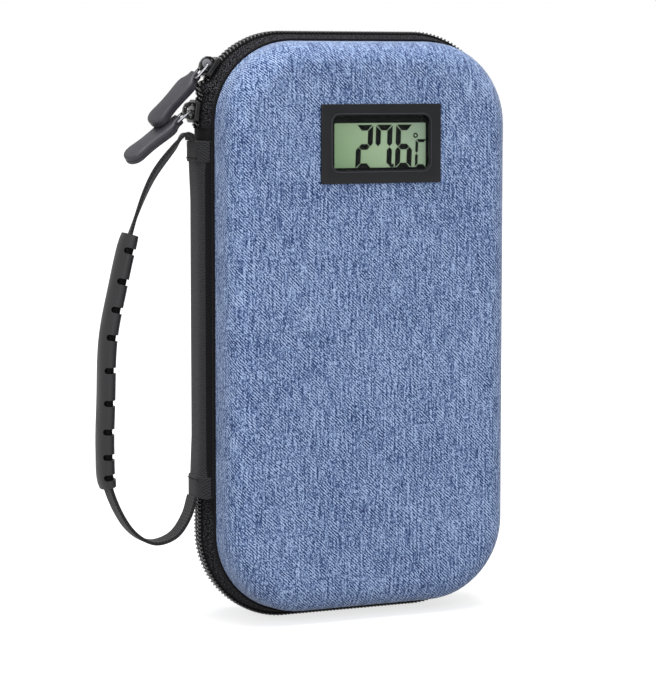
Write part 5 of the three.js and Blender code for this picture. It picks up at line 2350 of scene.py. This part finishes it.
def dress_node(node: str, finish: Finish) -> None:
    """Give a CAD node a better finish.

    Args:
        node: The node's name.
        finish: The finish.
    """
    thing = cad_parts[node]
    material = finish.material()
    if not thing.material_slots:
        thing.data.materials.append(material)
    for slot in thing.material_slots:
        slot.material = material
    log.info("%s: CAD node dressed", node)


@dataclass
class PenLoops:
    """Elastic bands in the base that hold three pens."""

    floor_y: float = -4.9 * MM
    upper_z: float = 26 * MM
    lower_z: float = -50 * MM
    spacing: float = 29 * MM
    inner_reach: float = 10.5 * MM
    rise: float = 17 * MM
    band: float = 1.2 * MM
    foot: float = 4 * MM
    height: float = 20 * MM
    steps: int = 20

    def contour(self) -> list[Pair]:
        """Closed contour of a band across the case: place along X, and rise over the lining.

        Returns:
            Its corners in order.
        """
        end = -self.spacing - self.inner_reach - self.band - self.foot
        outer, inner = [(end, self.band)], [(end, 0.0)]
        reach = self.inner_reach + self.band
        for loop in (-1, 0, 1):
            centre = loop * self.spacing
            for step in range(self.steps + 1):
                angle = math.pi * (1 - step / self.steps)
                lift = math.sin(angle)
                inner.append((centre + self.inner_reach * math.cos(angle), self.rise * lift))
                high = max(self.band, (self.rise + self.band) * lift)
                outer.append((centre + reach * math.cos(angle), high))
        outer.append((-end, self.band))
        inner.append((-end, 0.0))
        return outer + inner[::-1]

    def build(self) -> None:
        """Build and dress both bands."""
        for name, low in (("upper", self.upper_z), ("lower", self.lower_z)):
            corners = [(x, self.floor_y - rise, low) for x, rise in self.contour()]
            band = Workpiece.section(f"elastic_band_{name}", corners).pull(0, 0, self.height)
            band.lay_map(front_map)
            band.dress(ELASTIC, "base", [f"pen_loops_{name}"])


@dataclass
class IcePocket:
    """Net pocket in the lid with its binding and the gel pack behind it."""

    half_width: float = 51.6 * MM
    bottom: float = -99.1 * MM
    top: float = 40 * MM
    net_front: float = -31.7 * MM
    net_back: float = -31.1 * MM
    net_trim: float = 0.6 * MM
    net_cover: float = 0.45
    mesh_pitch: float = 3.2 * MM
    wire: float = 0.55 * MM
    hem_width: float = 2.4 * MM
    hem_front: float = 0.32 * MM
    hem_back: float = 0.28 * MM
    binding_low: float = 40.3 * MM
    binding_high: float = 46.3 * MM
    binding_front: float = -32.5 * MM
    binding_edge: float = 0.5 * MM
    pack_half_width: float = 45 * MM
    pack_low: float = -84 * MM
    pack_high: float = 28 * MM
    pack_front: float = -42.1 * MM
    pack_back: float = -32 * MM
    pack_corner: float = 10 * MM
    pack_columns: int = 54
    pack_rows: int = 66
    seam: float = 4 * MM
    seam_half: float = 0.45 * MM
    slope: float = 19 * MM
    fullness: float = 0.85
    pack_room: float = 0.6 * MM
    puckers: int = 23
    pucker_drift: int = 5
    pucker_depth: float = 0.1

    @property
    def inset(self) -> float:
        """How far the pocket's edge lies inside the outline."""
        return OUTLINE.width / 2 - self.half_width

    @property
    def middle_y(self) -> float:
        """Depth of the net's middle."""
        return (self.net_front + self.net_back) / 2

    def build_net(self) -> None:
        """Model the net as crossing threads, cut to the lid's outline, and its sewn edge."""
        wide, y = self.half_width, self.middle_y
        columns, rows = round(2 * wide / self.mesh_pitch), round((self.top - self.bottom) / self.mesh_pitch)
        net = Workpiece.grid("pocket_mesh_net", (-wide, y, self.bottom), (wide, y, self.top), columns, rows)
        radius = OUTLINE.corner - self.inset - self.net_trim

        def outside(place: Vector, normal: Vector) -> bool:
            """Whether a face lies outside the rounded lower corners.

            Args:
                place: The face's middle.
                normal: Its normal.

            Returns:
                True if it does.
            """
            away_x = abs(place.x) - OUTLINE.reach_x
            away_z = -place.z - OUTLINE.reach_z
            return away_x > 0 and away_z > 0 and math.hypot(away_x, away_z) > radius

        with net.editing():
            net.pick(Pick.FACE, outside)
            bpy.ops.mesh.delete(type="FACE")
        net.modify("WIREFRAME", thickness=self.wire, use_even_offset=True, use_replace=True)
        net.lay_map(front_map)
        self.net = net.dress(ELASTIC, "lid", ["pocket_net"])
        self.build_hem()

    def build_hem(self) -> None:
        """Sew a flat edge round the net's sides and bottom."""
        low, high = -self.inset - self.hem_width, -self.inset
        front, back = self.middle_y - self.hem_front, self.middle_y + self.hem_back
        profile = [(low, front), (high, front), (high, back), (low, back)]
        hem = SWEEP.section("pocket_sewn_edge", profile, self.top)
        with hem.editing():
            SWEEP.under(self.top, self.top)
        hem.close()
        hem.lay_map(OUTLINE.lie)
        self.hem = hem.dress(ELASTIC, "lid")

    def build_binding(self) -> None:
        """Model the elastic binding along the pocket's mouth."""
        low = (-self.half_width, self.binding_front, self.binding_low)
        high = (self.half_width, self.net_back, self.binding_high)
        binding = Workpiece.block("pocket_elastic_binding", low, high)
        binding.round_edges(self.binding_edge, 3, along(Axis.X))
        binding.lay_map(front_map)
        binding.dress(ELASTIC, "lid", ["pocket_binding"])

    def pillow_point(self, point: Vector, side: int) -> Vector:
        """Place of a flat grid's point on the pillow.

        Args:
            point: The point on the grid.
            side: 1 for the front and -1 for the back.

        Returns:
            The point on the pillow, which is crowned inside a flat sealed edge.
        """
        half_x = self.pack_half_width
        half_z = (self.pack_high - self.pack_low) / 2
        middle_z = (self.pack_high + self.pack_low) / 2
        middle_y = (self.pack_front + self.pack_back) / 2
        x, z = point.x, point.z - middle_z
        ring = max(abs(x) / half_x, abs(z) / half_z)
        if ring < TINY:
            edge = half_x
        else:
            corner = self.pack_corner
            far_x, far_z = abs(x) / ring, abs(z) / ring
            deep_x, deep_z = far_x - half_x + corner, far_z - half_z + corner
            if deep_x > 0 and deep_z > 0:
                length = math.hypot(deep_x, deep_z)
                keep = 1 - max(0.0, length - corner) / math.hypot(far_x, far_z)
                pull = 1 - (1 - keep) * ring**4
                x, z = x * pull, z * pull
            edge = (1 - ring) * min(half_x, half_z)
        rise = share_of((edge - self.seam) / self.slope)
        around = math.atan2(z, x)
        ripple = math.sin(self.puckers * around + 2 * math.sin(self.pucker_drift * around))
        pucker = 1 + self.pucker_depth * ripple * (1 - rise)
        crown = (self.pack_back - self.pack_front) / 2 - self.pack_room
        dome = crown * math.sin(rise * math.pi / 2) ** self.fullness * pucker
        return Vector((x, middle_y - side * (min(edge, self.seam_half) + dome), z + middle_z))

    def build_pack(self) -> None:
        """Model the gel pack as a crowned pillow inside a flat sealed edge."""
        wide, y = self.pack_half_width, (self.pack_front + self.pack_back) / 2
        low, high = (-wide, y, self.pack_low), (wide, y, self.pack_high)
        halves = []
        for side in (1, -1):
            half = Workpiece.grid("gel_pillow", low, high, self.pack_columns, self.pack_rows)
            half.shape(lambda point, side=side: self.pillow_point(point, side))
            halves.append(half)
        pack = halves[0].join(halves[1]).rename("gel_pillow").close(MERGE)
        pack.dress(GEL, "lid", ["gel_pack"], 60)

    def build(self) -> None:
        """Build and dress the pack, the net, its edge and the binding."""
        self.build_pack()
        self.build_net()
        self.build_binding()


@dataclass
class Studio:
    """Camera at the photograph's viewing angle, plain floor and soft light."""

    azimuth: float = VIEW_AZIMUTH
    elevation: float = 5.70
    distance: float = 1003.8 * MM
    focal: float = 2699.4
    picture: float = 685
    sensor: float = 36
    sight: float = 20
    shift_right: float = -6.60 * MM
    shift_up: float = -7.38 * MM
    floor_z: float = -107.75 * MM
    floor_size: float = 12
    floor_colour: float = 0.45
    ambient: float = 0.5
    aim: Point = (0, -0.02, 0)
    shadow_reach: Pair = (0.16, 0.6)
    shadow_glow: Pair = (0.72, 1.0)

    def place_camera(self) -> None:
        """Create the camera and look through it."""
        az, el = math.radians(self.azimuth), math.radians(self.elevation)
        back = Vector((-math.sin(az) * math.cos(el), -math.cos(az) * math.cos(el), math.sin(el)))
        right = Vector((math.cos(az), -math.sin(az), 0))
        up = back.cross(right).normalized()
        spot = Vector((0, ZIP_Y, 0)) + back * self.distance + right * self.shift_right + up * self.shift_up
        data = bpy.data.cameras.new("camera")
        data.sensor_width = self.sensor
        data.lens = self.focal * self.sensor / self.picture
        data.clip_end = self.sight
        camera = bpy.data.objects.new("camera", data)
        camera.matrix_world = Matrix.Translation(spot) @ Matrix((right, up, back)).transposed().to_4x4()
        bpy.context.scene.collection.objects.link(camera)
        bpy.context.scene.camera = camera

    def lamp(self, name: str, spot: Point, size: float, power: float) -> None:
        """Add a square soft lamp that points at the case.

        Args:
            name: The lamp's name.
            spot: Where it hangs.
            size: The length of its sides.
            power: Its power in watts.
        """
        data = bpy.data.lights.new(name, "AREA")
        data.size, data.energy = size, power
        lamp = bpy.data.objects.new(name, data)
        lamp.location = spot
        lamp.rotation_euler = (Vector(spot) - Vector(self.aim)).to_track_quat("Z", "Y").to_euler()
        bpy.context.scene.collection.objects.link(lamp)

    def seen(self, w: Wiring) -> Socket:
        """Share of a ray that should see plain white: camera, glossy and transmission rays.

        Args:
            w: The wiring of the world or of a material.

        Returns:
            The share's socket.
        """
        path = w.add("ShaderNodeLightPath").outputs
        seen = w.calc("MAXIMUM", path["Is Camera Ray"], path["Is Glossy Ray"])
        return w.calc("MAXIMUM", seen, path["Is Transmission Ray"])

    def build_world(self) -> None:
        """Make the world white to the camera and plain soft light to the object."""
        world = bpy.data.worlds.new("studio")
        bpy.context.scene.world = world
        world.use_nodes = True
        w = Wiring(world.node_tree)
        strength = w.calc("MULTIPLY_ADD", self.seen(w), 1 - self.ambient, self.ambient)
        w.fill(world.node_tree.nodes["Background"], {"Color": (1, 1, 1, 1), "Strength": strength})

    def build_floor(self) -> None:
        """Lay a pale floor that shows only a faint shadow."""
        Workpiece.clear()
        bpy.ops.mesh.primitive_plane_add(size=self.floor_size, location=(0, 0, self.floor_z))
        floor = bpy.context.object
        floor.name = "floor"
        material = bpy.data.materials.new("Pale Floor")
        material.use_nodes = True
        w = Wiring(material.node_tree)
        place = w.add("ShaderNodeTexCoord").outputs["Object"]
        length = w.add("ShaderNodeVectorMath", {0: place}, operation="LENGTH").outputs["Value"]
        fade = w.remap(length, self.shadow_reach, self.shadow_glow, interpolation_type="SMOOTHSTEP")
        fed = {
            "Base Color": (self.floor_colour, self.floor_colour, self.floor_colour, 1),
            "Roughness": 1,
            "Specular IOR Level": 0,
            "Emission Color": (1, 1, 1, 1),
            "Emission Strength": w.calc("MULTIPLY", self.seen(w), fade),
        }
        w.fill(material.node_tree.nodes["Principled BSDF"], fed)
        floor.data.materials.append(material)

    def build(self) -> None:
        """Set up the whole studio."""
        scene = bpy.context.scene
        scene.view_settings.view_transform = "Standard"
        self.place_camera()
        self.build_world()
        self.build_floor()
        self.lamp("overhead", (-0.1, -0.2, 1.3), 1.0, 18)
        self.lamp("front", (-0.4, -1.3, 0.5), 0.9, 7.4)
        self.lamp("side", (-1.2, -0.3, 0.3), 0.7, 1.6)


def main() -> None:
    """Build the whole object in order."""
    logging.basicConfig(level=logging.INFO, format="%(name)s: %(message)s")
    Studio().build()
    base = MouldedHalf(
        "base", face_y=0.0, rim_y=-14 * MM, inset=1.5 * MM, draft=0.6 * MM, fillet=11 * MM
    )
    meter = Thermometer()
    gap = CLEARANCE
    opening = (
        (meter.x - meter.body_width / 2 - gap, -50 * MM, meter.z - meter.body_height / 2 - gap),
        (meter.x + meter.body_width / 2 + gap, -38 * MM, meter.z + meter.body_height / 2 + gap),
    )
    lid = MouldedHalf(
        "lid", face_y=-47 * MM, rim_y=-31 * MM, inset=0.0, draft=1 * MM, fillet=8.7 * MM, opening=opening
    )
    base.build()
    lid.build()
    Zip().build({Side.BASE: base, Side.LID: lid})
    SliderAndTab(Which.UPPER, 143.5, 226.4, 0.9 * MM).build()
    SliderAndTab(Which.LOWER, 172.2, 216.2, -0.9 * MM).build()
    HingePanel().build()
    CarryingHandle().build()
    meter.build()
    PenLoops().build()
    IcePocket().build()


if __name__ == "__main__":
    main()
